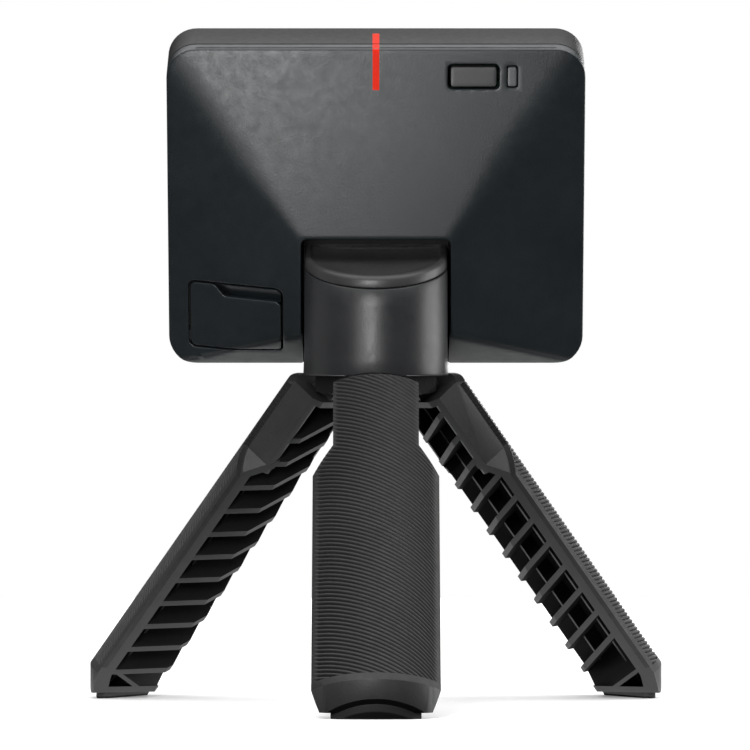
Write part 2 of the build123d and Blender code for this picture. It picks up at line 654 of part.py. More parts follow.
CAP_DISH = 0.5
CAP_LIP = 1.5
with BuildPart() as mount_cap:
    with BuildSketch(Plane.XY.offset(STRAIGHT_LOW_Z)):
        neck_outline(0)
    extrude(amount=30)
    keep_in_slab((SEAM_HIGH_V, CAP_TOP_V), DOCK_FACE_W)
    with BuildPart(mode=Mode.PRIVATE) as cap_spigot:
        with BuildSketch(Plane.XY.offset(STRAIGHT_LOW_Z)):
            neck_outline(NECK_WALL)
        extrude(amount=30)
        keep_in_slab((SEAM_LOW_V - 1.4, SEAM_HIGH_V), DOCK_FACE_W + 3.0)
    add(cap_spigot.part)
    with BuildPart(mode=Mode.PRIVATE) as cap_dish:
        with BuildSketch(Plane.XY.offset(STRAIGHT_LOW_Z)):
            neck_outline(CAP_LIP)
        extrude(amount=30)
        keep_in_slab((CAP_TOP_V - CAP_DISH, FAR), DOCK_FACE_W + CAP_LIP)
    add(cap_dish.part, mode=Mode.SUBTRACT)
mount_cap.part.label = "mount_cap"
export_step(mount_cap.part, "parts/mount_cap.step")

with BuildPart() as thread_insert:
    with BuildSketch(Plane.XY.offset(SKIRT_CEILING_Z)):
        with Locations((0, AXIS_Y)):
            Circle(INSERT_RADIUS)
            Circle(INSERT_BORE_RADIUS, mode=Mode.SUBTRACT)
    extrude(amount=INSERT_TOP_Z - SKIRT_CEILING_Z)
thread_insert.part.label = "thread_insert"
export_step(thread_insert.part, "parts/thread_insert.step")

with BuildPart() as dock_magnets:
    with BuildSketch(dock.offset(MAGNET_WS[0])):
        with Locations((-MAGNET_X, MAGNET_V), (MAGNET_X, MAGNET_V)):
            Circle(MAGNET_RADIUS)
    extrude(amount=MAGNET_WS[1] - MAGNET_WS[0])
dock_magnets.part.label = "dock_magnets"
export_step(dock_magnets.part, "parts/dock_magnets.step")

# ---------------------------------------------------------------- tripod hub
side_plane = Plane.YZ


def pivot_cylinder(radius, half, mode=Mode.ADD):
    """A cylinder along the front leg's pin."""
    with BuildSketch(side_plane.offset(-half)) as profile:
        with Locations((pivot.Y, pivot.Z)):
            Circle(radius)
    extrude(profile.sketch, amount=2 * half, mode=mode)


with BuildPart() as hub_ear:
    pivot_cylinder(EAR_RADIUS, PIN_HALF)

with BuildPart() as hub_slot:
    pivot_cylinder(SLOT_RADIUS, SLOT_HALF)
    with BuildSketch(side_plane.offset(-SLOT_HALF)):
        Polygon(
            (AXIS_Y - SLOT_HALF, FAR),
            (AXIS_Y - SLOT_HALF, PIVOT_Z),
            (pivot.Y, PIVOT_Z),
            (pivot.Y, PIVOT_Z + SLOT_RADIUS),
            (AXIS_Y - 2 * PIVOT_RADIUS, PIVOT_Z + SLOT_RADIUS),
            (AXIS_Y - 2 * PIVOT_RADIUS, FAR),
            align=None,
        )
    extrude(amount=2 * SLOT_HALF)
    pivot_cylinder(PIN_RADIUS, PIN_HALF + 0.1)


def hub_cone(low_z):
    """The hub's outline from one height up: straight, then narrowing to the top."""
    with BuildSketch(Plane.YZ) as profile:
        with Locations((AXIS_Y, 0)):
            Polygon(
                (0, low_z),
                (HUB_RADIUS, low_z),
                (HUB_RADIUS, HUB_STRAIGHT_Z),
                (HUB_TOP_RADIUS, HUB_TOP_Z),
                (0, HUB_TOP_Z),
                align=None,
            )
    revolve(profile.sketch, axis=tripod_axis)


with BuildPart() as hub_limits:
    hub_cone(FAR)

with BuildPart() as hub_body:
    hub_cone(HUB_LOW_Z)
    for turn in LEG_TURNS.values():
        add(hub_ear.part.rotate(tripod_axis, turn))
    add(hub_limits.part, mode=Mode.INTERSECT)
    for turn in LEG_TURNS.values():
        add(hub_slot.part.rotate(tripod_axis, turn), mode=Mode.SUBTRACT)
    with BuildSketch(Plane.XY.offset(HUB_TOP_Z)):
        with Locations((0, AXIS_Y)):
            Circle(STUD_SHANK_RADIUS)
    extrude(amount=-STUD_SHANK_LENGTH, mode=Mode.SUBTRACT)
hub_body.part.label = "hub_body"
export_step(hub_body.part, "parts/hub_body.step")

with BuildPart() as hub_stud:
    with BuildSketch(Plane.XY.offset(HUB_TOP_Z - STUD_SHANK_LENGTH)):
        with Locations((0, AXIS_Y)):
            Circle(STUD_SHANK_RADIUS)
    extrude(amount=STUD_SHANK_LENGTH)
    with BuildSketch(Plane.XY.offset(HUB_TOP_Z)):
        with Locations((0, AXIS_Y)):
            Circle(STUD_RADIUS)
    extrude(amount=STUD_HEIGHT)
    stud_tip = hub_stud.edges().group_by(Axis.Z)[-1]
    chamfer(stud_tip, 0.6)
hub_stud.part.label = "hub_stud"
export_step(hub_stud.part, "parts/hub_stud.step")

with BuildPart() as hub_washer:
    with BuildSketch(Plane.XY.offset(HUB_TOP_Z)):
        with Locations((0, AXIS_Y)):
            Circle(HUB_TOP_RADIUS - 0.6)
            Circle(WASHER_BORE_RADIUS, mode=Mode.SUBTRACT)
    extrude(amount=WASHER_THICKNESS)
hub_washer.part.label = "hub_washer"
export_step(hub_washer.part, "parts/hub_washer.step")

with BuildPart() as leg_pin:
    pivot_cylinder(PIN_RADIUS, PIN_HALF)

# ---------------------------------------------------------------- tripod legs


def sector(radius):
    """A third of the closed handle's round section, short of its neighbours."""
    lift = LEG_GAP / sin(radians(60))
    Circle(radius)
    with BuildSketch(mode=Mode.PRIVATE) as wedge:
        Polygon(
            (0, lift),
            (FAR * tan(radians(60)), FAR + lift),
            (-FAR * tan(radians(60)), FAR + lift),
            align=None,
        )
    add(wedge.sketch, mode=Mode.INTERSECT)


def leg_block(t_range, n_range, u_range, mode=Mode.ADD):
    """A block along a leg's width (t), outward direction (n) and length (u)."""
    with BuildSketch(leg_frame.offset(u_range[0])) as profile:
        with Locations(((t_range[0] + t_range[1]) / 2, (n_range[0] + n_range[1]) / 2)):
            Rectangle(t_range[1] - t_range[0], n_range[1] - n_range[0])
    extrude(profile.sketch, amount=u_range[1] - u_range[0], mode=mode)


def leg_prism(points, n_range, mode=Mode.ADD):
    """Extrude an outline drawn across the leg (t, u) from one n to another."""
    with BuildSketch(leg_side.offset(-n_range[1])) as profile:
        Polygon(*points, align=None)
    extrude(profile.sketch, amount=n_range[1] - n_range[0], mode=mode)


def toe_plan(radius):
    """Plan of the standing leg: round at the toe, open towards the hub."""
    with Locations((0, AXIS_Y - TOE_AXIS)):
        Circle(radius)
    with Locations((0, AXIS_Y - TOE_AXIS + FAR)):
        Rectangle(2 * radius, 2 * FAR)


with BuildPart() as leg_envelope:
    with BuildSketch(leg_frame.offset(LEG_TOP_U)):
        sector(LEG_RADIUS)
    extrude(amount=LEG_END_U - LEG_TOP_U)
    outer_top = leg_envelope.faces().sort_by(Axis(leg_frame.origin, leg_u))[0].edges()
    chamfer(outer_top.filter_by(GeomType.CIRCLE), 1.1, 1.5)
    # inner flat, nearer the axis at the toe than at the pin
    with BuildPart(mode=Mode.PRIVATE) as inner_side:
        with BuildSketch(side_plane.offset(-FAR)):
            near = leg_frame.from_local_coords(Vector(0, LEG_INNER_N, 0))
            far = leg_frame.from_local_coords(Vector(0, LEG_INNER_N - 110 * LEG_TAPER, 110))
            far_in = leg_frame.from_local_coords(Vector(0, -FAR, 110))
            near_in = leg_frame.from_local_coords(Vector(0, -FAR, 0))
            Polygon(*[(p.Y, p.Z) for p in (near, far, far_in, near_in)], align=None)
        extrude(amount=2 * FAR)
    add(inner_side.part, mode=Mode.SUBTRACT)
    # narrow shoulders and their facets
    facet_end_u = NARROW_END_U + FACET_SLOPE * (FAR - NARROW_HALF)
    for side in (-1, 1):
        shoulder = [
            (side * NARROW_HALF, 0),
            (side * FAR, 0),
            (side * FAR, facet_end_u),
            (side * NARROW_HALF, NARROW_END_U),
        ]
        leg_prism(shoulder, (-FAR, FAR), Mode.SUBTRACT)
    with BuildPart(mode=Mode.PRIVATE) as standing_room:
        with BuildSketch(Plane.XY.offset(TOE_BOTTOM_Z)):
            toe_plan(LEG_RADIUS)
        extrude(amount=100)
    add(standing_room.part, mode=Mode.INTERSECT)
    # lower corners of the toe
    for side in (-1, 1):
        with BuildSketch(Plane.XZ.offset(-AXIS_Y)):
            Polygon(
                (side * TOE_LOW_HALF, TOE_BOTTOM_Z - 1),
                (side * TOE_CORNER_HALF, TOE_CORNER_Z),
                (side * (LEG_RADIUS + 1), TOE_CORNER_Z),
                (side * (LEG_RADIUS + 1), TOE_BOTTOM_Z - 1),
                align=None,
            )
        extrude(amount=2 * FAR, mode=Mode.SUBTRACT)

with BuildPart() as leg_shell:
    with BuildSketch(leg_frame.offset(LEG_TOP_U)):
        sector(LEG_RADIUS)
        Circle(LEG_RADIUS - LEG_WALL, mode=Mode.SUBTRACT)
    extrude(amount=LEG_END_U - LEG_TOP_U)
    leg_block((-NARROW_HALF, NARROW_HALF), (0, 14), (LEG_TOP_U, LEG_TOP_U + 1.5))
    for index in range(RIB_COUNT):
        middle_u = RIB_FIRST_U + RIB_PITCH * index
        reach = LEG_RADIUS
        shift = RIB_SLANT * reach
        half = RIB_THICKNESS / 2
        rib = [
            (-reach, middle_u - shift - half),
            (reach, middle_u + shift - half),
            (reach, middle_u + shift + half),
            (-reach, middle_u - shift + half),
        ]
        leg_prism(rib, (0, 14))
    for side in (-1, 1):
        web = (side * WEB_OFFSET - WEB_THICKNESS / 2, side * WEB_OFFSET + WEB_THICKNESS / 2)
        leg_block(web, (WEB_INNER_N, 14), (LEG_TOP_U, 88))
        plate = sorted((side * (NARROW_HALF - 2), side * NARROW_HALF))
        leg_block(plate, (4.7, 14), (LEG_TOP_U, NARROW_END_U + 2))
        facet_wall = [
            (side * (NARROW_HALF - 2), NARROW_END_U - 2.2),
            (side * NARROW_HALF, NARROW_END_U),
            (side * 14, NARROW_END_U + FACET_SLOPE * (14 - NARROW_HALF)),
            (side * 14, NARROW_END_U + FACET_SLOPE * (14 - NARROW_HALF) + 2.4),
            (side * (NARROW_HALF - 2), NARROW_END_U + 0.2),
        ]
        leg_prism(facet_wall, (3, 14))
    # floor and upright front wall of the toe
    with BuildSketch(Plane.XY.offset(TOE_BOTTOM_Z)):
        toe_plan(LEG_RADIUS)
    extrude(amount=TOE_FLOOR)
    with BuildSketch(Plane.XY.offset(TOE_BOTTOM_Z)):
        with Locations((0, AXIS_Y - TOE_AXIS)):
            Circle(LEG_RADIUS)
            Circle(LEG_RADIUS - LEG_WALL, mode=Mode.SUBTRACT)
        with Locations((0, AXIS_Y - TOE_AXIS + FAR)):
            Rectangle(2 * FAR, 2 * FAR, mode=Mode.SUBTRACT)
    extrude(amount=TOE_WALL_HEIGHT)
    leg_block((-14, 14), (9, 15), (LEG_END_U - 2.6, LEG_END_U))
    add(leg_envelope.part, mode=Mode.INTERSECT)
    # hinge lug with its eye
    leg_block((-LUG_HALF, LUG_HALF), (4.4, 10.2), (0, LEG_TOP_U + 1.5))
    pivot_cylinder(LUG_RADIUS, LUG_HALF)
    pivot_cylinder(PIN_RADIUS + 0.05, LUG_HALF + 1, Mode.SUBTRACT)

with BuildPart() as leg_grip:
    with BuildSketch(leg_frame.offset(GRIP_TOP_U)):
        sector(LEG_RADIUS)
        Circle(GRIP_INNER_RADIUS, mode=Mode.SUBTRACT)
    extrude(amount=LEG_END_U - GRIP_TOP_U)
    add(leg_envelope.part, mode=Mode.INTERSECT)
    # the grip ends along the line where the leg's round back meets the toe's
    with BuildPart(mode=Mode.PRIVATE) as above_toe:
        with BuildSketch(grip_end):
            Rectangle(4 * FAR, 4 * FAR)
        extrude(amount=2 * FAR)
    add(above_toe.part, mode=Mode.INTERSECT)

with BuildPart() as leg_body:
    add(leg_shell.part)
    add(leg_grip.part, mode=Mode.SUBTRACT)

with BuildPart() as leg_foot:
    with BuildSketch(Plane.XY):
        toe_plan(LEG_RADIUS - FOOT_SET_BACK)
        with Locations((0, AXIS_Y - FOOT_INNER - 10)):
            Rectangle(2 * FOOT_HALF, 20, mode=Mode.INTERSECT)
    extrude(amount=8)
    # trimmed square to the leg at its end, and seated on the toe
    with BuildPart(mode=Mode.PRIVATE) as foot_limits:
        with BuildSketch(leg_frame):
            sector(LEG_RADIUS)
        extrude(amount=FOOT_END_U)
    add(foot_limits.part, mode=Mode.INTERSECT)
    with BuildPart(mode=Mode.PRIVATE) as toe_solid:
        with BuildSketch(leg_frame):
            Rectangle(4 * FAR, 4 * FAR)
        extrude(amount=LEG_END_U)
        with BuildSketch(Plane.XY.offset(-1)):
            Rectangle(6 * FAR, 6 * FAR)
        extrude(amount=1 + TOE_BOTTOM_Z, mode=Mode.SUBTRACT)
    add(toe_solid.part, mode=Mode.SUBTRACT)

LEG_PIECES = {"leg": leg_body, "grip": leg_grip, "foot": leg_foot, "leg_pin": leg_pin}
for leg_name, turn in LEG_TURNS.items():
    for piece_name, piece in LEG_PIECES.items():
        with BuildPart() as placed:
            add(piece.part.rotate(tripod_axis, turn))
        placed.part.label = f"{piece_name}_{leg_name}"
        export_step(placed.part, f"parts/{piece_name}_{leg_name}.step")
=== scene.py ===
from math import atan, cos, hypot, pi, radians, sin, sqrt, tan

import bmesh
import bpy
from mathutils import Matrix, Vector
from mathutils.geometry import delaunay_2d_cdt


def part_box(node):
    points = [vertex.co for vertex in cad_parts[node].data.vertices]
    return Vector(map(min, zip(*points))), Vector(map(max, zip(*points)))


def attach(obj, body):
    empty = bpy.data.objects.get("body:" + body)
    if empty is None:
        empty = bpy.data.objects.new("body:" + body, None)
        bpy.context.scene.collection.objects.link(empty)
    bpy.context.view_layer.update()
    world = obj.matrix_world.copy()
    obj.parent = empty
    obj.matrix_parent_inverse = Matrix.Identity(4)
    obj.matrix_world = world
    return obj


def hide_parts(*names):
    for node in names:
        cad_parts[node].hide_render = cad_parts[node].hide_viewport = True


# Looks of a launch monitor: a tilted radar unit on a magnetic mount and a mini tripod.
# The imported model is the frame. Lengths below are in millimetres, and MM turns them
# into the scene's metres.
# The unit has x across it, v up along its back and w out of its back, from the dock.
# Each leg has t across it, n outward from the folded handle's axis and u down its length.

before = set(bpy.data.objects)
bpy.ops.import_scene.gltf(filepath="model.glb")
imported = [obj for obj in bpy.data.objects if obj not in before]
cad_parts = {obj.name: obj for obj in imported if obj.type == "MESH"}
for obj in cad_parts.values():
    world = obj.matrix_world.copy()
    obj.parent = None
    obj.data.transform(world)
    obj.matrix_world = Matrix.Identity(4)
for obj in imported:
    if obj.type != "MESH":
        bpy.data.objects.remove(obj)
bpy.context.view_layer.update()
MM = 0.001


# ---------------------------------------------------------------- sizes from the frame
def middle(node):
    """Centre of a CAD node's box, in millimetres."""
    low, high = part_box(node)
    return (low + high) / (2 * MM)


AXIS_Y = middle("hub_stud").y        # the tripod's upright axis
PIVOT = middle("leg_pin_front")
PIVOT_RADIUS = AXIS_Y - PIVOT.y

TILT = radians(19.5)                 # of the unit, back from upright
DOCK_Z = 83.65
UNIT_WIDTH = 89.0
UNIT_HEIGHT = 70.5
UNIT_LOW_V = -14.8
UNIT_HIGH_V = UNIT_LOW_V + UNIT_HEIGHT
UNIT_MID_V = UNIT_LOW_V + UNIT_HEIGHT / 2
UNIT_CORNER = 6.2
PYRAMID_W = -9.0                     # where the sloped facets meet the side band
REAR_END_W = -12.8
FRONT_START_W = -13.2
COVER_SEAT_W = -25.0
COVER_FACE_W = -26.0
SHELL_WALL = 1.7
PLATEAU_HALF = 16.2
PLATEAU_LOW_V = -5.3
PLATEAU_HIGH_V = 16.5
LEG_SPREAD = radians(39.0)
LEG_RADIUS = 15.5
DOCK_FACE_W = -9.7                   # the mount's front face, in the recess


def dock_point(x, v, w):
    """A point along the unit's width, height and depth."""
    y = AXIS_Y - v * sin(TILT) - w * cos(TILT)
    z = DOCK_Z + v * cos(TILT) - w * sin(TILT)
    return Vector((x, y, z)) * MM


LEG_TURNS = {"front": 0.0, "right": radians(120), "left": radians(240)}
leg_u = Vector((0, -sin(LEG_SPREAD), -cos(LEG_SPREAD)))
leg_n = Vector((0, -cos(LEG_SPREAD), sin(LEG_SPREAD)))
leg_origin = Vector((0, PIVOT.y, PIVOT.z)) - leg_n * PIVOT_RADIUS


def leg_axes(side):
    """A leg's turn about the tripod's axis, and its width, outward and length axes."""
    turn = Matrix.Rotation(LEG_TURNS[side], 3, "Z")
    return turn, turn @ Vector((1, 0, 0)), turn @ leg_n, turn @ leg_u


def leg_point(side, t, n, u):
    """A point along a leg's width, outward direction and length."""
    point = leg_origin + Vector((t, 0, 0)) + leg_n * n + leg_u * u
    axis = Vector((0, AXIS_Y, 0))
    turn = Matrix.Rotation(LEG_TURNS[side], 3, "Z")
    return (turn @ (point - axis) + axis) * MM


# ---------------------------------------------------------------- materials
def new_material(name):
    """An empty node material, with its nodes and links."""
    material = bpy.data.materials.new(name)
    material.use_nodes = True
    return material, material.node_tree.nodes, material.node_tree.links


def noise(nodes, links, coordinate, scale, detail=2.0, roughness=0.5, stretch=(1, 1, 1)):
    """A noise texture in the piece's own space, in millimetre-sized grains."""
    mapping = nodes.new("ShaderNodeMapping")
    mapping.inputs["Scale"].default_value = [scale * s for s in stretch]
    texture = nodes.new("ShaderNodeTexNoise")
    texture.inputs["Scale"].default_value = 1.0
    texture.inputs["Detail"].default_value = detail
    texture.inputs["Roughness"].default_value = roughness
    links.new(coordinate, mapping.inputs["Vector"])
    links.new(mapping.outputs["Vector"], texture.inputs["Vector"])
    return texture.outputs["Fac"]


def mapped(nodes, links, value, low, high, from_low=0.3, from_high=0.7):
    """A noise value spread between two numbers."""
    span = nodes.new("ShaderNodeMapRange")
    span.inputs["From Min"].default_value = from_low
    span.inputs["From Max"].default_value = from_high
    span.inputs["To Min"].default_value = low
    span.inputs["To Max"].default_value = high
    links.new(value, span.inputs["Value"])
    return span.outputs["Result"]


def mixed(nodes, links, factor, first, second):
    """A colour between two, by a noise value."""
    blend = nodes.new("ShaderNodeMix")
    blend.data_type = "RGBA"
    blend.inputs["A"].default_value = (*first, 1)
    blend.inputs["B"].default_value = (*second, 1)
    links.new(factor, blend.inputs["Factor"])
    return blend.outputs["Result"]


def grained(name, colour, rough, grain=2.2, depth=0.03, vary=0.12, metal=0.0, coat=0.0,
            scuff=0.05, stretch=(1, 1, 1), specular=0.5):
    """A moulded or machined surface: fine grain, slow colour drift and faint scuffs.
    grain is in grains per millimetre and depth in millimetres."""
    material, nodes, links = new_material(name)
    shader = nodes["Principled BSDF"]
    place = nodes.new("ShaderNodeTexCoord").outputs["Object"]
    drift = noise(nodes, links, place, 90, 3.0)
    speckle = noise(nodes, links, place, grain * 1000, 2.0, 0.6, stretch)
    scuffs = noise(nodes, links, place, 420, 4.0, 0.7)
    dark = [channel * (1 - vary) for channel in colour]
    light = [min(1.0, channel * (1 + vary)) for channel in colour]
    slow = mixed(nodes, links, mapped(nodes, links, drift, 0, 1), dark, light)
    fine = nodes.new("ShaderNodeMix")
    fine.data_type = "RGBA"
    fine.blend_type = "MULTIPLY"
    fine.inputs["Factor"].default_value = 1.0
    flecks = mixed(nodes, links, mapped(nodes, links, speckle, 0, 1), (0.9,) * 3, (1.0,) * 3)
    links.new(slow, fine.inputs["A"])
    links.new(flecks, fine.inputs["B"])
    links.new(fine.outputs["Result"], shader.inputs["Base Color"])
    uneven = mapped(nodes, links, scuffs, rough - scuff, rough + scuff)
    links.new(uneven, shader.inputs["Roughness"])
    bump = nodes.new("ShaderNodeBump")
    bump.inputs["Distance"].default_value = depth * MM
    bump.inputs["Strength"].default_value = 1.0
    links.new(speckle, bump.inputs["Height"])
    links.new(bump.outputs["Normal"], shader.inputs["Normal"])
    shader.inputs["Metallic"].default_value = metal
    shader.inputs["Specular IOR Level"].default_value = specular
    shader.inputs["Coat Weight"].default_value = coat
    shader.inputs["Coat Roughness"].default_value = 0.2
    return material


shell_finish = grained("unit_shell_plastic", (0.0165, 0.0215, 0.0245), 0.37, 2.4, 0.02)
front_finish = grained("front_frame_plastic", (0.012, 0.012, 0.0125), 0.5, 2.4, 0.02,
                        specular=0.36)
face_finish = grained("front_face_plastic", (0.006, 0.006, 0.007), 0.2, 1.6, 0.003, coat=0.4)
key_finish = grained("key_plastic", (0.035, 0.035, 0.037), 0.4, 2.6, 0.01)
neck_finish = grained("neck_plastic", (0.027, 0.028, 0.0295), 0.36, 2.6, 0.015)
cap_finish = grained("cap_plastic", (0.047, 0.047, 0.048), 0.36, 2.2, 0.015)
hub_finish = grained("hub_plastic", (0.005, 0.005, 0.005), 0.5, 2.0, 0.03)
leg_finish = grained("leg_plastic", (0.031, 0.0315, 0.032), 0.48, 1.8, 0.03)
# Painted shade: a near-black copy of the leg plastic for the deep faces of the legs' open cells
# and the toe webs, standing in for the shade inside them.
cell_shade_finish = grained("leg_cell_plastic", (0.006, 0.006, 0.006), 0.75, 1.8, 0.03,
                      specular=0.25)
grip_finish = grained("grip_rubber", (0.018, 0.018, 0.0185), 0.62, 3.0, 0.02, scuff=0.08)
foot_finish = grained("foot_rubber", (0.016, 0.016, 0.017), 0.66, 2.4, 0.03)
# Painted shade: a near-black copy of the shell plastic for the walls of the mount's recess and
# the port pocket, standing in for the shade inside them.
recess_shade_finish = grained("recess_painted_shade", (0.005, 0.0055, 0.006), 0.6, 2.4, 0.02)
seal_finish = grained("seal_rubber", (0.004, 0.004, 0.004), 0.8, 3.0, 0.02)
mark_finish = grained("stripe_paint", (0.97, 0.028, 0.008), 0.55, 2.6, 0.006, vary=0.04,
                      specular=0.12)
window_finish = grained("light_window", (0.09, 0.094, 0.098), 0.35, 3.0, 0.004)
steel_finish = grained("steel", (0.56, 0.56, 0.57), 0.3, 1.2, 0.004, metal=1.0, stretch=(6, 6, 1))
brass_finish = grained("brass", (0.62, 0.43, 0.18), 0.32, 1.2, 0.004, metal=1.0)
magnet_finish = grained("nickel_magnet", (0.62, 0.61, 0.59), 0.2, 1.0, 0.003, metal=1.0)
board_finish = grained("board_green", (0.01, 0.07, 0.035), 0.35, 0.9, 0.01, coat=0.3)
copper_finish = grained("copper", (0.72, 0.33, 0.17), 0.3, 1.4, 0.003, metal=1.0)
wrap_finish = grained("battery_wrap", (0.16, 0.165, 0.17), 0.3, 0.6, 0.01, coat=0.2)
foam_finish = grained("foam", (0.03, 0.03, 0.032), 0.9, 3.5, 0.12, vary=0.3)
chip_finish = grained("chip_resin", (0.012, 0.012, 0.013), 0.5, 2.4, 0.01)

CAD_FINISHES = {
    "hub_body": hub_finish,
    "hub_stud": steel_finish,
    "hub_washer": foot_finish,
    "leg_pin_front": steel_finish,
    "leg_pin_right": steel_finish,
    "leg_pin_left": steel_finish,
    "thread_insert": brass_finish,
    "dock_magnets": magnet_finish,
    "housing_seal": seal_finish,
    "housing_screws": steel_finish,
    "light_pipe": window_finish,
    "main_board": board_finish,
    "board_screws": steel_finish,
    "tactile_switch": chip_finish,
    "status_led": window_finish,
    "usb_connector": steel_finish,
    "board_shield": steel_finish,
    "battery_pad": foam_finish,
    "battery_cell": wrap_finish,
    "board_connector": chip_finish,
    "antenna_board": board_finish,
    "antenna_patches": copper_finish,
    "antenna_gasket": foam_finish,
    "dock_plate": steel_finish,
}


def paint(piece, material):
    """Give a CAD node one finish on every material slot."""
    if not piece.material_slots:
        piece.data.materials.append(material)
    for slot in piece.material_slots:
        slot.material = material


for node_name, finish in CAD_FINISHES.items():
    paint(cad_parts[node_name], finish)


# ---------------------------------------------------------------- mesh helpers
def finish_piece(name, mesh, material, body, nodes, sharp=32.0):
    """Shade a mesh, hang it on its body and hide the CAD nodes that it stands for."""
    work = bmesh.new()
    work.from_mesh(mesh)
    bmesh.ops.remove_doubles(work, verts=work.verts, dist=1e-7)
    bmesh.ops.dissolve_degenerate(work, edges=work.edges, dist=1e-7)
    bmesh.ops.recalc_face_normals(work, faces=work.faces)
    work.to_mesh(mesh)
    work.free()
    mesh.shade_smooth()
    mesh.set_sharp_from_angle(angle=radians(sharp))
    mesh.materials.clear()
    mesh.materials.append(material)
    piece = bpy.data.objects.new(name, mesh)
    bpy.context.collection.objects.link(piece)
    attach(piece, body)
    if nodes:
        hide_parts(*nodes)
    return piece


def built(name, points, faces, material, body, slot, nodes, sharp=32.0):
    """A piece made from lists of points and faces."""
    mesh = bpy.data.meshes.new(name)
    mesh.from_pydata([tuple(p) for p in points], [], faces)
    return finish_piece(name, mesh, material, body, nodes, sharp)


def ring_faces(first, second, count):
    """Quads between two rings of points that start at these indices."""
    return [
        (first + i, first + (i + 1) % count, second + (i + 1) % count, second + i)
        for i in range(count)
    ]


def loft(rings, ends=True, round_trip=False):
    """Points and faces of a skin over closed rings, with its ends filled or joined."""
    count = len(rings[0])
    points = [p for ring in rings for p in ring]
    faces = []
    for index in range(len(rings) - 1):
        faces += ring_faces(index * count, (index + 1) * count, count)
    last = (len(rings) - 1) * count
    if round_trip:
        faces += ring_faces(last, 0, count)
    elif ends:
        faces.append(tuple(range(count))[::-1])
        faces.append(tuple(range(last, last + count)))
    return points, faces


def rounded_rectangle(half_x, half_v, corner, steps=8):
    """Outline around the origin, as (x, v) points."""
    outline = []
    for quarter in range(4):
        sign_x = 1 if quarter in (0, 3) else -1
        sign_v = 1 if quarter in (0, 1) else -1
        for step in range(steps + 1):
            angle = (quarter + step / steps) * pi / 2
            x = sign_x * (half_x - corner) + corner * cos(angle)
            v = sign_v * (half_v - corner) + corner * sin(angle)
            outline.append((x, v))
    return outline


def unit_ring(inset, w, steps=10):
    """The unit's outline, drawn in by a distance, at one depth."""
    corner = max(UNIT_CORNER - inset, 0.3)
    outline = rounded_rectangle(UNIT_WIDTH / 2 - inset, UNIT_HEIGHT / 2 - inset, corner, steps)
    return [dock_point(x, v + UNIT_MID_V, w) for x, v in outline]


def softened(node, name, material, body, width):
    """A copy of a CAD node with its edges rounded as moulding leaves them."""
    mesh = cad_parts[node].data.copy()
    work = bmesh.new()
    work.from_mesh(mesh)
    bmesh.ops.remove_doubles(work, verts=work.verts, dist=2e-6)
    bmesh.ops.dissolve_limit(
        work, angle_limit=radians(1.0), use_dissolve_boundaries=False,
        verts=work.verts, edges=work.edges)
    work.to_mesh(mesh)
    work.free()
    holder = bpy.data.objects.new(name + "_edges", mesh)
    bpy.context.collection.objects.link(holder)
    bevel = holder.modifiers.new("edges", "BEVEL")
    bevel.width = width * MM
    bevel.segments = 2
    bevel.limit_method = "ANGLE"
    bevel.angle_limit = radians(28.0)
    bevel.use_clamp_overlap = True
    bevel.miter_outer = "MITER_ARC"
    graph = bpy.context.evaluated_depsgraph_get()
    result = bpy.data.meshes.new_from_object(holder.evaluated_get(graph))
    bpy.data.objects.remove(holder)
    return finish_piece(name, result, material, body, [node], 20.0)


# ---------------------------------------------------------------- rear shell surface
def soft_min(a, b, spread):
    """The lower of two heights, blended where they differ by less than spread."""
    overlap = max(spread - abs(a - b), 0.0) / spread
    return min(a, b) - overlap * overlap * spread / 4


def shell_height(x, v):
    """Depth of the rear shell's outer surface, with rounded ridges."""
    side_run = UNIT_WIDTH / 2 - PLATEAU_HALF
    side = PYRAMID_W * (1 - (UNIT_WIDTH / 2 - abs(x)) / side_run)
    top = PYRAMID_W * (1 - (UNIT_HIGH_V - v) / (UNIT_HIGH_V - PLATEAU_HIGH_V))
    bottom = PYRAMID_W * (1 - (v - UNIT_LOW_V) / (PLATEAU_LOW_V - UNIT_LOW_V))
    reach = min(max((v - PLATEAU_HIGH_V) / 18, 0.0), 1.0)
    upper = soft_min(side, top, 0.3 + 1.3 * reach)
    return min(soft_min(upper, bottom, 0.8), 0.0)


def offset_outline(outline, distance):
    """Move a closed outline's points outward, square to it."""
    moved = []
    count = len(outline)
    for i in range(count):
        before = Vector(outline[i - 1])
        here = Vector(outline[i])
        after = Vector(outline[(i + 1) % count])
        run_in = (here - before).normalized()
        run_out = (after - here).normalized()
        along = (run_in + run_out).normalized()
        stretch = 1 / max(along.dot(run_out), 0.5)
        moved.append(tuple(here + Vector((along.y, -along.x)) * distance * stretch))
    return moved


def rounded_polygon(corners, steps=6):
    """An anticlockwise outline through (x, v, radius) corners, each an arc."""
    outline = []
    count = len(corners)
    for i in range(count):
        before = Vector(corners[i - 1][:2])
        here = Vector(corners[i][:2])
        after = Vector(corners[(i + 1) % count][:2])
        radius = corners[i][2]
        toward = (before - here).normalized()
        away = (after - here).normalized()
        half = toward.angle(away) / 2
        reach = radius / tan(half)
        start = here + toward * reach
        centre = here + (toward + away).normalized() * radius / sin(half)
        end = here + away * reach
        spoke = start - centre
        sweep = spoke.angle_signed(end - centre)
        for step in range(steps + 1):
            turn = Matrix.Rotation(-sweep * step / steps, 2)
            outline.append(tuple(centre + turn @ spoke))
    return outline


def inside(point, outline):
    """Whether a point lies within a closed outline."""
    x, v = point
    crossed = False
    for i in range(len(outline)):
        ax, av = outline[i - 1]
        bx, bv = outline[i]
        if (av > v) != (bv > v) and x < ax + (v - av) / (bv - av) * (bx - ax):
            crossed = not crossed
    return crossed


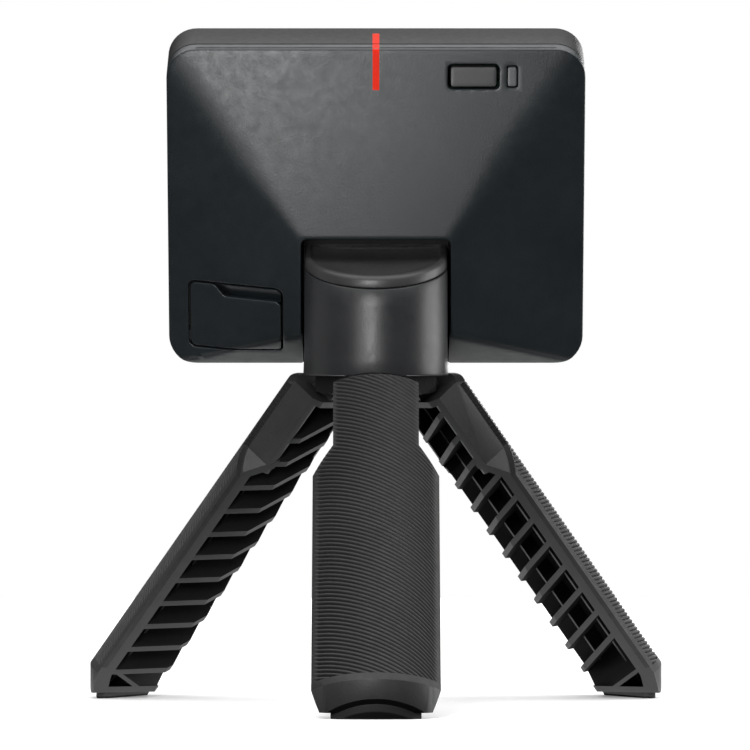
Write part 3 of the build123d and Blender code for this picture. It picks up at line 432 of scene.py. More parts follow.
def edge_distance(point, outlines):
    """Distance from a point to the nearest of some closed outlines."""
    best = 1e9
    px, pv = point
    for outline in outlines:
        for i in range(len(outline)):
            ax, av = outline[i - 1]
            bx, bv = outline[i]
            dx, dv = bx - ax, bv - av
            share = ((px - ax) * dx + (pv - av) * dv) / max(dx * dx + dv * dv, 1e-12)
            share = min(max(share, 0.0), 1.0)
            best = min(best, hypot(px - ax - share * dx, pv - av - share * dv))
    return best


def divided(outline, longest):
    """A closed outline with its long edges divided."""
    points = []
    for i in range(len(outline)):
        start = Vector(outline[i - 1])
        end = Vector(outline[i])
        parts = max(int((end - start).length / longest + 0.99), 1)
        points += [tuple(start.lerp(end, step / parts)) for step in range(parts)]
    return points


ROUND_RINGS = (0.0, 0.12, 0.3, 0.6, 1.0)


def skin_plate(outline, holes, surface, radius, thickness, spacing):
    """A plate that follows a surface: points and faces of its outer skin, its inner
    skin and the walls between, with edges rounded to a radius."""
    borders = [outline] + holes
    spots = []
    edges = []
    for number, coarse in enumerate(borders):
        grow = -1 if number == 0 else 1
        border = divided(coarse, spacing * 0.8)
        for share in ROUND_RINGS if radius else (0.0,):
            ring = offset_outline(border, grow * share * radius) if share else border
            first = len(spots)
            spots += ring
            if share == 0:
                edges += [(first + i, first + (i + 1) % len(ring)) for i in range(len(ring))]
    low_x = min(p[0] for p in outline)
    high_x = max(p[0] for p in outline)
    low_v = min(p[1] for p in outline)
    high_v = max(p[1] for p in outline)
    columns = max(int((high_x - low_x) / spacing), 1)
    rows = max(int((high_v - low_v) / spacing), 1)
    clear = radius * 1.35
    for i in range(columns + 1):
        for j in range(rows + 1):
            spot = (low_x + (high_x - low_x) * i / columns, low_v + (high_v - low_v) * j / rows)
            held = inside(spot, outline) and not any(inside(spot, hole) for hole in holes)
            if held and edge_distance(spot, borders) > clear:
                spots.append(spot)
    flat, _, triangles, *_ = delaunay_2d_cdt([Vector(s) for s in spots], edges, [], 0, 1e-5)
    kept = []
    for triangle in triangles:
        centre = sum((flat[i] for i in triangle), Vector((0, 0))) / 3
        if inside(centre, outline) and not any(inside(centre, hole) for hole in holes):
            kept.append(tuple(triangle))
    outer = []
    inner = []
    for spot in flat:
        depth = edge_distance(spot, borders) if radius else 1e9
        gap = max(radius - depth, 0.0)
        drop = radius - sqrt(max(radius * radius - gap * gap, 0.0)) if radius else 0.0
        height = surface(spot.x, spot.y)
        outer.append(dock_point(spot.x, spot.y, height - drop))
        inner.append(dock_point(spot.x, spot.y, height - thickness))
    count = len(flat)
    faces = list(kept) + [tuple(i + count for i in t[::-1]) for t in kept]
    uses = {}
    for triangle in kept:
        for i in range(3):
            pair = (triangle[i], triangle[(i + 1) % 3])
            uses[tuple(sorted(pair))] = None if tuple(sorted(pair)) in uses else pair
    for pair in uses.values():
        if pair:
            faces.append((pair[1], pair[0], pair[0] + count, pair[1] + count))
    return outer + inner, faces


def joined(parts):
    """Several lists of points and faces as one."""
    points = []
    faces = []
    for some_points, some_faces in parts:
        shift = len(points)
        points += some_points
        faces += [tuple(i + shift for i in face) for face in some_faces]
    return points, faces


# ---------------------------------------------------------------- rear shell
# Corners are (x, v, radius), anticlockwise.
PORT_CORNERS = [
    (-40.2, -10.45, 1.7), (-19.85, -10.45, 1.2), (-19.85, 4.65, 1.8), (-40.2, 4.65, 1.5)]
CONNECTOR_CORNERS = [
    (-34.7, -4.8, 1.0), (-26.3, -4.8, 1.0), (-26.3, -1.4, 1.0), (-34.7, -1.4, 1.0)]
PORT_FLOOR_W = -11.6
PORT_WALL = 0.8
BUTTON_X = 20.7
BUTTON_V = 50.0
BUTTON_HALF = (5.45, 2.6)
LED_X = 28.9
LED_HALF = (1.15, 2.3)
EDGE_ROUND = 0.25
RIM_GROOVE = 0.35
SKIN_SPACING = 1.1                   # between points of the shell's outer skin
SCOOP_LOW_V = 1.2
SCOOP_HIGH_V = 4.25
SCOOP_LEFT_X = -34.2
SCOOP_RIGHT_X = -20.25
SCOOP_DEPTH = 2.1
SCOOP_END_DEPTH = 1.2
SCOOP_END_RUN = 2.4
SCOOP_LEAN = 0.6
RECESS_DEPTH = 10.0
RECESS_WALL = 1.4
RECESS_HALF = 15.95
RECESS_LOW_HALF = 15.65              # below the step
RECESS_STEP_LOW_V = -5.6
RECESS_STEP_HIGH_V = -4.6
RECESS_HIGH_V = 16.25
POST_X = 39.7
POST_INSET_V = 4.8
POST_RADIUS = 3.0
SCREW_HOLE_RADIUS = 1.0


def spot_outline(x, v, half, corner, steps=5):
    """A rounded rectangle's outline around a spot on the shell."""
    outline = rounded_rectangle(half[0], half[1], corner, steps)
    return [(x + px, v + pv) for px, pv in outline]


def unit_outline_below_recess():
    """The shell's outline, cut in at the lower edge by the neck's recess."""
    low = UNIT_LOW_V
    high = UNIT_HIGH_V
    half = UNIT_WIDTH / 2
    rim = UNIT_CORNER
    wall = RECESS_HALF
    mouth = RECESS_LOW_HALF
    return rounded_polygon([
        (-half, low, rim),
        (-mouth, low, 0.4),
        (-mouth, RECESS_STEP_LOW_V, 0.4),
        (-wall, RECESS_STEP_HIGH_V, 0.4),
        (-wall, RECESS_HIGH_V, 1.5),
        (wall, RECESS_HIGH_V, 1.5),
        (wall, RECESS_STEP_HIGH_V, 0.4),
        (mouth, RECESS_STEP_LOW_V, 0.4),
        (mouth, low, 0.4),
        (half, low, rim),
        (half, high, rim),
        (-half, high, rim),
    ], 9)


def rear_skin():
    """The faceted back, with openings for the port, the key and the status window."""
    holes = [
        rounded_polygon(PORT_CORNERS),
        spot_outline(BUTTON_X, BUTTON_V, BUTTON_HALF, 1.0),
        spot_outline(LED_X, BUTTON_V, LED_HALF, 0.6),
    ]
    return skin_plate(
        unit_outline_below_recess(), holes, shell_height, EDGE_ROUND, SHELL_WALL,
        SKIN_SPACING)


def rear_band():
    """The side band, with a fine groove under the facets and a small front edge."""
    profile = [
        (0.35, PYRAMID_W - 0.15),
        (RIM_GROOVE + 0.1, PYRAMID_W - 0.2),
        (RIM_GROOVE, PYRAMID_W - 0.55),
        (0.06, PYRAMID_W - 0.6),
        (0.0, PYRAMID_W - 0.75),
        (0.0, REAR_END_W + 0.15),
        (0.15, REAR_END_W),
        (SHELL_WALL, REAR_END_W),
        (SHELL_WALL, PYRAMID_W - 0.15),
    ]
    return loft([unit_ring(inset, w) for inset, w in profile], round_trip=True)


def recess_walls():
    """The pocket that the mount stands in: a floor and three walls, open below."""
    half = RECESS_HALF
    low = UNIT_LOW_V + 0.6
    floor_w = -RECESS_DEPTH
    inner = rounded_polygon([
        (-half, low, 0.01), (half, low, 0.01),
        (half, RECESS_HIGH_V, 1.5), (-half, RECESS_HIGH_V, 1.5)], 7)
    inner = divided(inner, 1.0)
    outer = offset_outline(inner, RECESS_WALL)
    outer = [(x, max(v, low)) for x, v in outer]
    rings = [
        [dock_point(x, v, shell_height(x, v) - 1.2) for x, v in outer],
        [dock_point(x, v, floor_w - RECESS_WALL) for x, v in outer],
        [dock_point(x * 0.02, 0.02 * v, floor_w - RECESS_WALL) for x, v in outer],
        [dock_point(x * 0.02, 0.02 * v, floor_w) for x, v in inner],
        [dock_point(x * 0.97, v, floor_w) for x, v in inner],
        [dock_point(x, v, floor_w + 0.5) for x, v in inner],
        [dock_point(x, v, shell_height(x, v) - 0.6) for x, v in inner],
    ]
    return loft(rings, round_trip=True)


def scoop_ledge():
    """The dished fingernail ledge beside the port flap."""
    def dished(x, v):
        across = min(max((v - SCOOP_LOW_V) / (SCOOP_HIGH_V - SCOOP_LOW_V), 0.0), 1.0)
        lean = SCOOP_LEAN * (SCOOP_HIGH_V - v)
        along = min(max((x - SCOOP_LEFT_X - lean) / SCOOP_END_RUN, 0.0), 1.0)
        dish = 0.1 + SCOOP_DEPTH * (1 - across) ** 1.15
        return shell_height(x, v) - dish - SCOOP_END_DEPTH * (1 - along) ** 2

    outline = rounded_polygon([
        (SCOOP_LEFT_X + 0.6, SCOOP_LOW_V - 0.3, 0.2),
        (SCOOP_RIGHT_X, SCOOP_LOW_V - 0.3, 0.2),
        (SCOOP_RIGHT_X, SCOOP_HIGH_V, 1.4),
        (SCOOP_LEFT_X - 0.4, SCOOP_HIGH_V, 0.3),
    ], 5)
    return skin_plate(outline, [], dished, 0.12, 1.0, 0.5)


def screw_posts():
    """Posts inside the shell that the housing screws bite into."""
    parts = []
    turns = [2 * pi * step / 24 for step in range(24)]
    for x in (-POST_X, POST_X):
        for v in (UNIT_LOW_V + POST_INSET_V, UNIT_HIGH_V - POST_INSET_V):
            top = shell_height(x, v) - 1.0
            profile = (
                (POST_RADIUS, REAR_END_W), (POST_RADIUS, top),
                (SCREW_HOLE_RADIUS, top), (SCREW_HOLE_RADIUS, REAR_END_W))
            rings = [
                [dock_point(x + r * cos(a), v + r * sin(a), w) for a in turns]
                for r, w in profile]
            parts.append(loft(rings, round_trip=True))
    return joined(parts)


def port_pocket():
    """The charging port's pocket: walls inside the opening and a floor with the
    connector standing through it."""
    opening = divided(offset_outline(rounded_polygon(PORT_CORNERS), 0.02), 1.0)
    around = offset_outline(opening, PORT_WALL)
    walls = loft([
        [dock_point(x, v, shell_height(x, v) - 0.7) for x, v in opening],
        [dock_point(x, v, PORT_FLOOR_W) for x, v in opening],
        [dock_point(x, v, PORT_FLOOR_W) for x, v in around],
        [dock_point(x, v, shell_height(x, v) - 1.4) for x, v in around],
    ], round_trip=True)
    connector = rounded_polygon(CONNECTOR_CORNERS)
    floor = skin_plate(
        rounded_polygon(PORT_CORNERS), [connector], lambda x, v: PORT_FLOOR_W + 0.4,
        0.0, PORT_WALL, 2.5)
    return joined([walls, floor])


built("rear_shell", *joined([rear_skin(), rear_band(), scoop_ledge(), screw_posts()]),
      shell_finish, "unit", "shell", ["rear_housing"], 30.0)
# The recess and the port pocket walls carry the near-black painted shade finish.
built("recess_liner", *recess_walls(), recess_shade_finish, "unit", "shell", ["rear_housing"])
built("port_pocket", *port_pocket(), recess_shade_finish, "unit", "shell", ["rear_housing"])


# ---------------------------------------------------------------- controls
FLAP_CORNERS = [
    (-39.7, -9.97, 1.3), (-20.32, -9.97, 0.8), (-20.32, 1.6, 1.4),
    (-32.4, 1.6, 1.6), (-34.6, 4.17, 1.4), (-39.7, 4.17, 1.1)]
KEY_GAP = (0.62, 0.58)
WINDOW_GAP = (0.24, 0.34)
STRIPE_HALF = 0.7
STRIPE_PROUD = 0.03
STRIPE_DEPTH = 0.4
STRIPE_LOW_V = 47.3
STRIPE_END_W = -20.6


def raised(amount):
    """The shell's surface, moved outward."""
    return lambda x, v: shell_height(x, v) + amount


def port_flap():
    """The rubber flap, notched where the nail scoop is."""
    return skin_plate(rounded_polygon(FLAP_CORNERS, 6), [], shell_height, 0.2, 1.5, 0.8)


def flap_pad():
    """The soft pad on the flap's inner side that closes over the port."""
    outline = divided(spot_outline(-30.5, -3.1, (5.0, 2.3), 1.2), 0.8)
    inner = [(x * 0.96 - 1.22, v * 0.9 - 0.31) for x, v in outline]
    return loft([
        [dock_point(x, v, shell_height(x, v) - 1.3) for x, v in outline],
        [dock_point(x, v, shell_height(x, v) - 1.75) for x, v in outline],
        [dock_point(x, v, shell_height(x, v) - 1.9) for x, v in inner],
    ])


built("port_flap", *port_flap(), shell_finish, "port_cover", "shell", ["port_cover"])
built("port_flap_pad", *flap_pad(), seal_finish, "port_cover", "seal_rubber", ["port_cover"])

key_half = (BUTTON_HALF[0] - KEY_GAP[0], BUTTON_HALF[1] - KEY_GAP[1])
key_outline = spot_outline(BUTTON_X, BUTTON_V, key_half, 0.5)
built("power_key", *skin_plate(key_outline, [], raised(0.05), 0.16, 1.7, 0.8),
      key_finish, "power_button", "button_plastic", ["power_button"])

window_half = (LED_HALF[0] - WINDOW_GAP[0], LED_HALF[1] - WINDOW_GAP[1])
window_outline = spot_outline(LED_X, BUTTON_V, window_half, 0.4)
built("status_window", *skin_plate(window_outline, [], raised(-0.08), 0.08, 3.3, 0.6),
      window_finish, "unit", "light_pipe", ["light_pipe"])


def stripe():
    """The alignment stripe: a thin inlay down the top facet and over the top edge."""
    slope = atan(-PYRAMID_W / (UNIT_HIGH_V - PLATEAU_HIGH_V))
    path = []
    for step in range(12):
        v = STRIPE_LOW_V + (UNIT_HIGH_V - EDGE_ROUND - STRIPE_LOW_V) * step / 11
        path.append((v, shell_height(0, v), slope))
    runs = [path]
    turns = 6
    for step in range(1, turns + 1):
        share = step / turns
        angle = slope + (pi / 2 - slope) * share
        v = UNIT_HIGH_V - EDGE_ROUND + EDGE_ROUND * sin(angle)
        w = PYRAMID_W - EDGE_ROUND + EDGE_ROUND * cos(angle)
        path.append((v, w, angle))
    for start_w, end_w in ((PYRAMID_W - 0.75, REAR_END_W + 0.12),
                           (FRONT_START_W - 0.12, STRIPE_END_W)):
        runs.append([(UNIT_HIGH_V, start_w, pi / 2), (UNIT_HIGH_V, end_w, pi / 2)])
    parts = []
    for run in runs:
        rings = []
        for v, w, angle in run:
            up = (STRIPE_PROUD * sin(angle), STRIPE_PROUD * cos(angle))
            down = (-STRIPE_DEPTH * sin(angle), -STRIPE_DEPTH * cos(angle))
            rings.append([
                dock_point(-STRIPE_HALF, v + down[0], w + down[1]),
                dock_point(-STRIPE_HALF, v + up[0], w + up[1]),
                dock_point(STRIPE_HALF, v + up[0], w + up[1]),
                dock_point(STRIPE_HALF, v + down[0], w + down[1]),
            ])
        parts.append(loft(rings))
    return joined(parts)


built("red_stripe", *stripe(), mark_finish, "unit", "mark_red", ["alignment_stripe"])


# ---------------------------------------------------------------- front frame and cover
def front_frame():
    """The frame round the unit's front half, as (inset, w) rings."""
    profile = [
        (0.12, FRONT_START_W),
        (0.0, FRONT_START_W - 0.12),
        (0.0, COVER_SEAT_W + 0.25),
        (0.08, COVER_SEAT_W + 0.07),
        (0.25, COVER_SEAT_W),
        (2.0, COVER_SEAT_W),
        (2.0, FRONT_START_W),
    ]
    return loft([unit_ring(inset, w) for inset, w in profile], round_trip=True)


def front_face():
    """The radar cover: a flat face with a rounded edge and a fine line inside it."""
    profile = [
        (2.0, -24.0),
        (2.0, COVER_SEAT_W),
        (0.5, COVER_SEAT_W),
        (0.5, COVER_FACE_W + 0.5),
        (0.57, COVER_FACE_W + 0.25),
        (0.75, COVER_FACE_W + 0.07),
        (1.0, COVER_FACE_W),
        (3.6, COVER_FACE_W),
        (3.7, COVER_FACE_W + 0.18),
        (3.95, COVER_FACE_W + 0.18),
        (4.05, COVER_FACE_W),
        (20.0, COVER_FACE_W),
    ]
    return loft([unit_ring(inset, w) for inset, w in profile])


built("front_frame", *front_frame(), front_finish, "unit", "front_shell", ["front_housing"])
built("front_panel", *front_face(), face_finish, "unit", "front_face", ["front_cover"])


# ---------------------------------------------------------------- magnetic mount
NECK_RADIUS = 15.5
NECK_HALF = 15.25
NECK_LOW_Z = 69.95
NECK_STRAIGHT_Z = 77.0
MOUNT_REACH = 16.0                   # of the plan ahead of the axis, before the dock face
SEAM_LOW_V = 9.45
SEAM_HIGH_V = 9.7
CAP_TOP_V = 12.0


def mount_plan(inset, steps=56):
    """The mount's plan about its own axis: round at the back, straight-sided ahead."""
    radius = NECK_RADIUS - inset
    half = NECK_HALF - inset
    plan = []
    for step in range(steps + 1):
        angle = pi + pi * step / steps
        plan.append((max(-half, min(half, radius * cos(angle))), radius * sin(angle)))
    for step in range(1, 9):
        plan.append((half, MOUNT_REACH * step / 8))
    for step in range(1, 16):
        plan.append((half - 2 * half * step / 16, MOUNT_REACH))
    for step in range(9):
        plan.append((-half, MOUNT_REACH - MOUNT_REACH * step / 8))
    return plan


def mount_ring(v, inset):
    """The mount's outline on a plane across the unit's height."""
    ring = []
    for x, ahead in mount_plan(inset):
        w = (-ahead - v * sin(TILT)) / cos(TILT)
        ring.append(dock_point(x, v, max(w, DOCK_FACE_W)))
    return ring


def level_ring(z, inset):
    """The mount's outline at one height."""
    ring = []
    for x, ahead in mount_plan(inset):
        reach = (-(z - DOCK_Z) * sin(TILT) - DOCK_FACE_W) / cos(TILT)
        ring.append(Vector((x, AXIS_Y + min(ahead, reach), z)) * MM)
    return ring


def blended(first, second, share):
    """A ring between two others."""
    return [a.lerp(b, share) for a, b in zip(first, second)]


def round_level_ring(z, radius):
    """A plain round outline at one height, point for point like the mount's."""
    ring = []
    for x, ahead in mount_plan(0):
        length = hypot(x, ahead)
        reach = (-(z - DOCK_Z) * sin(TILT) - DOCK_FACE_W) / cos(TILT)
        y = min(ahead * radius / length, max(reach, 0))
        ring.append(Vector((x * radius / length, AXIS_Y + y, z)) * MM)
    return ring


def neck():
    """The mount's body: round below, cut by the dock face above, hollow underneath."""
    low = round_level_ring(NECK_LOW_Z + 0.5, NECK_RADIUS)
    straight = level_ring(NECK_STRAIGHT_Z, 0)
    top = mount_ring(SEAM_LOW_V - 0.15, 0)
    rings = [
        round_level_ring(76.0, 11.9),
        round_level_ring(72.0, 13.3),
        round_level_ring(NECK_LOW_Z, 13.4),
        round_level_ring(NECK_LOW_Z, NECK_RADIUS - 0.5),
        round_level_ring(NECK_LOW_Z + 0.15, NECK_RADIUS - 0.15),
        low,
        blended(low, straight, 0.5),
        straight,
        blended(straight, top, 0.33),
        blended(straight, top, 0.67),
        top,
        mount_ring(SEAM_LOW_V, 0.15),
        mount_ring(SEAM_LOW_V, 2.0),
        mount_ring(SEAM_LOW_V - 1.2, 2.2),
    ]
    return loft(rings, round_trip=True)


def cap():
    """The mount's cap: a rounded satin lip around a shallow dish."""
    profile = [
        (SEAM_LOW_V - 1.4, 2.1),
        (SEAM_HIGH_V - 0.02, 2.1),
        (SEAM_HIGH_V, 0.2),
        (SEAM_HIGH_V + 0.1, 0.05),
        (SEAM_HIGH_V + 0.25, 0.0),
        (CAP_TOP_V - 0.9, 0.0),
        (CAP_TOP_V - 0.5, 0.1),
        (CAP_TOP_V - 0.2, 0.33),
        (CAP_TOP_V - 0.04, 0.66),
        (CAP_TOP_V, 1.0),
        (CAP_TOP_V - 0.07, 1.3),
        (CAP_TOP_V - 0.3, 1.55),
        (CAP_TOP_V - 0.55, 1.7),
        (CAP_TOP_V - 0.7, 2.1),
        (CAP_TOP_V - 0.85, 4.5),
        (CAP_TOP_V - 0.95, 8.0),
        (CAP_TOP_V - 1.0, 12.0),
    ]
    return loft([mount_ring(v, inset) for v, inset in profile])


built("mount_shell", *neck(), neck_finish, "neck", "neck_plastic", ["mount_neck"], 40.0)
built("mount_top", *cap(), cap_finish, "neck", "cap_plastic", ["mount_cap"], 50.0)

# ---------------------------------------------------------------- legs
LEG_GAP = 0.25                       # half the gap between two closed legs
LEG_INNER_N = 4.35                   # of a leg's open inner side, at its top
LEG_TAPER = 0.046
LEG_INSIDE_RADIUS = 12.4
LEG_FLANK = radians(60)              # from a leg's middle to its side faces
TOE_AXIS = 53.8                      # of the toe's upright face, from the tripod axis
NARROW_HALF = 9.0                    # the grip's half width on the leg's narrow top
NARROW_END_U = 25.2
FACET_SLOPE = 1.1

GRIP_HALF = radians(58.9)
GRIP_TOP_U = 8.0
GRIP_END_GAP = 1.7
GRIP_INNER = 14.2
GRIP_COLUMNS = 52
GRIP_FIRST = -16.0                   # the rows run well past both ends, then are cut
GRIP_LAST = 112.0
GROOVE_PITCH = 1.02
GROOVE_DEPTH = 0.45
GROOVE_SLANT = 0.47
GROOVE_STEPS = 6
GROOVE_HALF = radians(53.5)
GROOVE_FADE = 0.7
CREST_SHARE = 0.3
CHAMFER_DEPTH = 1.1
CHAMFER_TOP_U = 6.9
CHAMFER_RUN = 1.5

WEB_N = 6.1
WEB_Z = 5.9
WEB_RUN = 1.7
WEB_LOW_Z = 2.2
WEB_OUTER_RADIUS = 12.7
WEB_THICKNESS = 0.85
WEB_STEPS = 12


def groove(phase):
    """Depth of the grip's surface below its crests, along one rib after another."""
    share = abs((phase / GROOVE_PITCH) % 1.0 - 0.5) * 2
    return GROOVE_DEPTH * max(0.0, (share - CREST_SHARE) / (1 - CREST_SHARE)) ** 1.2


def grip(side):
    """The rubber skin on a leg's round back, with slanting ribs."""
    rows = int((GRIP_LAST - GRIP_FIRST) / GROOVE_PITCH) * GROOVE_STEPS
    work = bmesh.new()
    grid = []
    for row in range(rows + 1):
        phase = GRIP_FIRST + row * GROOVE_PITCH / GROOVE_STEPS
        line = []
        for column in range(GRIP_COLUMNS + 1):
            angle = -GRIP_HALF + 2 * GRIP_HALF * column / GRIP_COLUMNS
            t = LEG_RADIUS * sin(angle)
            u = phase + GROOVE_SLANT * LEG_RADIUS * angle
            chamfer = CHAMFER_DEPTH * max(0.0, 1 - (u - CHAMFER_TOP_U) / CHAMFER_RUN)
            shoulder = u - NARROW_END_U - FACET_SLOPE * (abs(t) - NARROW_HALF)
            edge = max(NARROW_HALF - abs(t), shoulder / hypot(1, FACET_SLOPE))
            edge = min(edge, (GROOVE_HALF - abs(angle)) * LEG_RADIUS)
            fade = min(max(edge / GROOVE_FADE, 0.0), 1.0)
            radius = LEG_RADIUS - max(groove(phase) * fade, chamfer)
            point = leg_point(side, radius * sin(angle), radius * cos(angle), u)
            line.append(work.verts.new(point))
        grid.append(line)
    for above, below in zip(grid, grid[1:]):
        for column in range(GRIP_COLUMNS):
            work.faces.new(
                (above[column], above[column + 1], below[column + 1], below[column]))

    turn, across, outward, along = leg_axes(side)
    top = leg_point(side, 0, 0, GRIP_TOP_U)
    toe_u = (leg_origin.y - AXIS_Y + TOE_AXIS) / sin(LEG_SPREAD)
    low = leg_point(side, 0, 0, toe_u - GRIP_END_GAP)
    low_normal = turn @ Vector((0, sin(LEG_SPREAD / 2), cos(LEG_SPREAD / 2)))

    def cut(point, normal, clear):
        everything = work.verts[:] + work.edges[:] + work.faces[:]
        bmesh.ops.bisect_plane(
            work, geom=everything, dist=1e-7, plane_co=point, plane_no=normal,
            clear_inner=clear)

    cut(top, along, True)
    cut(low, low_normal, True)
    for sign in (-1, 1):
        corner = leg_point(side, sign * NARROW_HALF, 0, NARROW_END_U)
        cut(corner, across, False)
        cut(corner, along - across * sign * FACET_SLOPE, False)
    outside = []
    for face in work.faces:
        away = face.calc_center_median() - leg_point(side, 0, 0, 0)
        t = abs(away.dot(across)) / MM
        shoulder = NARROW_END_U + FACET_SLOPE * (t - NARROW_HALF)
        if t > NARROW_HALF and away.dot(along) / MM < shoulder:
            outside.append(face)
    bmesh.ops.delete(work, geom=outside, context="FACES")

    skin = work.faces[:]
    doubled = bmesh.ops.extrude_face_region(work, geom=skin, use_keep_orig=True)
    for vert in doubled["geom"]:
        if isinstance(vert, bmesh.types.BMVert):
            away = vert.co - leg_point(side, 0, 0, 0)
            spoke = across * away.dot(across) + outward * away.dot(outward)
            vert.co -= spoke * (1 - GRIP_INNER * MM / spoke.length)
    mesh = bpy.data.meshes.new("grip_" + side)
    work.to_mesh(mesh)
    work.free()
    return mesh


def paint_cell_shade(piece, side):
    """Paint shade onto the deep faces of a leg's open cells with a darker, rougher finish,
    and give the strip of its round back below the grip the grip's own."""
    piece.data.materials.append(cell_shade_finish)
    piece.data.materials.append(grip_finish)
    base = leg_point(side, 0, 0, 0)
    _, across, outward, along = leg_axes(side)
    for face in piece.data.polygons:
        away = (piece.matrix_world @ face.center - base) / MM
        t = away.dot(across)
        n = away.dot(outward)
        u = away.dot(along)
        rim = LEG_INNER_N - LEG_TAPER * u
        normal = piece.matrix_world.to_3x3() @ face.normal
        inner_edge = normal.dot(outward) < -0.8 and n < 9.0
        deep = hypot(t, n) < LEG_INSIDE_RADIUS and n > rim + 0.25
        within = abs(t) < n * tan(LEG_FLANK) - 0.6
        # Deep faces inside the cell get the painted shade finish.
        if u > 9.0 and deep and within and not inner_edge:
            face.material_index = 1
        if u > 80.0 and hypot(t, n) > LEG_RADIUS - 0.1 and normal.dot(along) < 0.05:
            face.material_index = 2


def toe_web(side):
    """The slanting web across the corner between a leg's round wall and its toe."""
    top_z = WEB_Z - leg_origin.z
    low_z = WEB_LOW_Z - leg_origin.z
    reach = (WEB_N - top_z * sin(LEG_SPREAD)) / cos(LEG_SPREAD)
    start = Vector((WEB_N, reach * sin(LEG_SPREAD) - top_z * cos(LEG_SPREAD)))
    reach -= WEB_RUN
    end = Vector((
        reach * cos(LEG_SPREAD) + low_z * sin(LEG_SPREAD),
        reach * sin(LEG_SPREAD) - low_z * cos(LEG_SPREAD)))
    along = (end - start).normalized()
    thick = Vector((-along.y, along.x)) * WEB_THICKNESS / 2
    last = WEB_OUTER_RADIUS - 0.1
    rings = []
    for step in range(WEB_STEPS + 1):
        n = end.x + (last - end.x) * step / WEB_STEPS
        middle = end + along * (n - end.x) / along.x
        ring = []
        for sign_t, sign_w in ((1, 1), (-1, 1), (-1, -1), (1, -1)):
            point = middle + thick * sign_w
            flank = (point.x - LEG_GAP / sin(LEG_FLANK)) * tan(LEG_FLANK) - 0.03
            half = min(flank, sqrt(WEB_OUTER_RADIUS ** 2 - n * n))
            ring.append(leg_point(side, half * sign_t, point.x, point.y))
        rings.append(ring)
    return loft(rings)


for side in LEG_TURNS:
    body = "leg_" + side
    shell = softened("leg_" + side, "leg_shell_" + side, leg_finish, body, 0.2)
    paint_cell_shade(shell, side)
    web = built("toe_web_" + side, *toe_web(side), leg_finish, body, "leg_plastic",
                ["leg_" + side], 25.0)
    # The web's faces other than its sides get the painted shade finish of the cells.
    web.data.materials.append(cell_shade_finish)
    across = leg_axes(side)[1]
    for face in web.data.polygons:
        if abs(face.normal.dot(across)) < 0.25:
            face.material_index = 1
    softened("foot_" + side, "foot_pad_" + side, foot_finish, body, 0.35)
    finish_piece("grip_skin_" + side, grip(side), grip_finish, body,
                 ["grip_" + side], 50.0)


# ---------------------------------------------------------------- stage, light, camera
# Places and sizes here are in metres, and powers in watts.
FLOOR_HALF_X = 1.2
FLOOR_NEAR_Y = -1.5
FLOOR_FAR_Y = 0.7
FLOOR_EMISSION = 0.2
WORLD_FILL = 0.035                   # the white surround's share in the light itself
LIGHTS = [
    # name, place, target, width, height, power
    ("key_light", (-0.038, -0.25, 0.125), (-0.02, 0, 0.12), 0.05, 0.12, 0.37),
    ("low_left_light", (-0.075, -0.16, 0.07), (-0.03, 0, 0.12), 0.04, 0.06, 0.025),
    ("top_light", (0.0, 0.3, 2.2), (0, 0.3, 0), 5.0, 5.0, 150),
    ("right_light", (0.55, 0.10, 0.14), (0, 0, 0.1), 0.4, 0.5, 2.4),
    ("left_light", (-0.55, 0.10, 0.14), (0, 0, 0.1), 0.4, 0.5, 0.17),
    ("back_light", (0.25, 0.9, 0.16), (0, 0, 0.1), 0.5, 0.3, 2.2),
    ("floor_glow", (0, 0.16, 0.0003), (0, 0.16, 1), 0.34, 0.3, 0.34),
]
CAMERA_X = -0.2
CAMERA_REACH = 1450.0
CAMERA_Z = 70.15
FIELD_WIDTH = 160.1


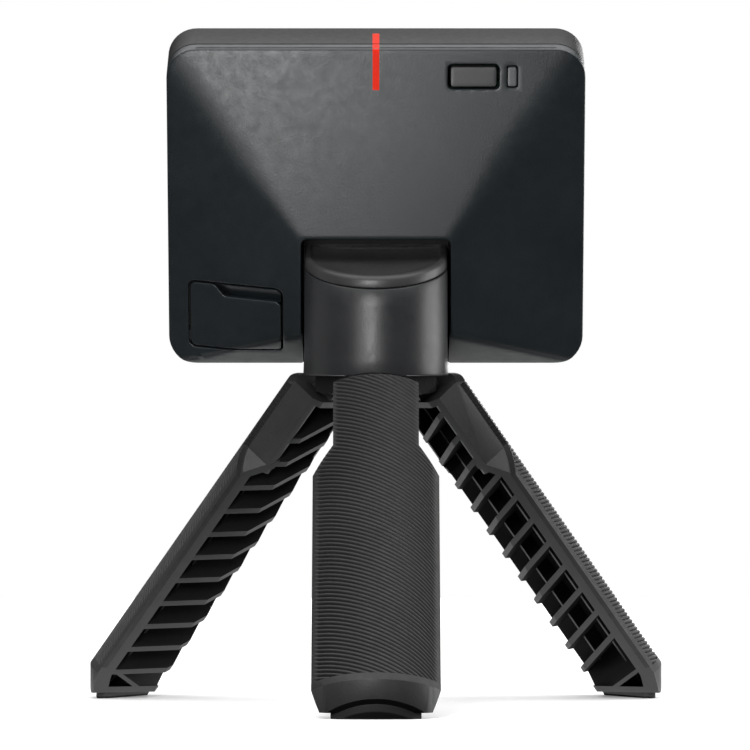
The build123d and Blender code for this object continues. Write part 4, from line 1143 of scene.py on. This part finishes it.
def stage():
    """A plain pale floor."""
    corners = [
        (-FLOOR_HALF_X, FLOOR_NEAR_Y, 0), (FLOOR_HALF_X, FLOOR_NEAR_Y, 0),
        (FLOOR_HALF_X, FLOOR_FAR_Y, 0), (-FLOOR_HALF_X, FLOOR_FAR_Y, 0)]
    mesh = bpy.data.meshes.new("floor")
    mesh.from_pydata(corners, [], [(0, 1, 2, 3)])
    piece = bpy.data.objects.new("floor", mesh)
    bpy.context.collection.objects.link(piece)
    paper = grained("floor_paper", (0.93, 0.93, 0.93), 0.85, 0.4, 0.01, 0.01)
    glow = paper.node_tree.nodes["Principled BSDF"]
    glow.inputs["Emission Color"].default_value = (1, 1, 1, 1)
    glow.inputs["Emission Strength"].default_value = FLOOR_EMISSION
    mesh.materials.append(paper)
    piece.visible_glossy = False
    piece.visible_diffuse = False


stage()


def softbox(name, place, target, width, height, power):
    """A rectangular lamp that the camera doesn't see."""
    light = bpy.data.lights.new(name, "AREA")
    light.shape = "RECTANGLE"
    light.size = width
    light.size_y = height
    light.energy = power
    lamp = bpy.data.objects.new(name, light)
    lamp.location = place
    toward = Vector(target) - Vector(place)
    lamp.rotation_euler = toward.to_track_quat("-Z", "Y").to_euler()
    lamp.visible_camera = False
    bpy.context.collection.objects.link(lamp)


for settings in LIGHTS:
    softbox(*settings)

world = bpy.data.worlds.new("studio")
world.use_nodes = True
nodes = world.node_tree.nodes
links = world.node_tree.links
seen = nodes.new("ShaderNodeLightPath")
level = nodes.new("ShaderNodeMapRange")
level.inputs["To Min"].default_value = WORLD_FILL
level.inputs["To Max"].default_value = 1.0
links.new(seen.outputs["Is Camera Ray"], level.inputs["Value"])
links.new(level.outputs["Result"], nodes["Background"].inputs["Strength"])
nodes["Background"].inputs["Color"].default_value = (1, 1, 1, 1)
bpy.context.scene.world = world
bpy.context.scene.view_settings.view_transform = "Standard"

camera_data = bpy.data.cameras.new("camera")
camera_data.sensor_width = 36.0
camera_data.lens = 36.0 * CAMERA_REACH / FIELD_WIDTH
camera = bpy.data.objects.new("camera", camera_data)
camera.location = Vector((CAMERA_X, AXIS_Y - CAMERA_REACH, CAMERA_Z)) * MM
camera.rotation_euler = (pi / 2, 0, 0)
bpy.context.collection.objects.link(camera)
bpy.context.scene.camera = camera
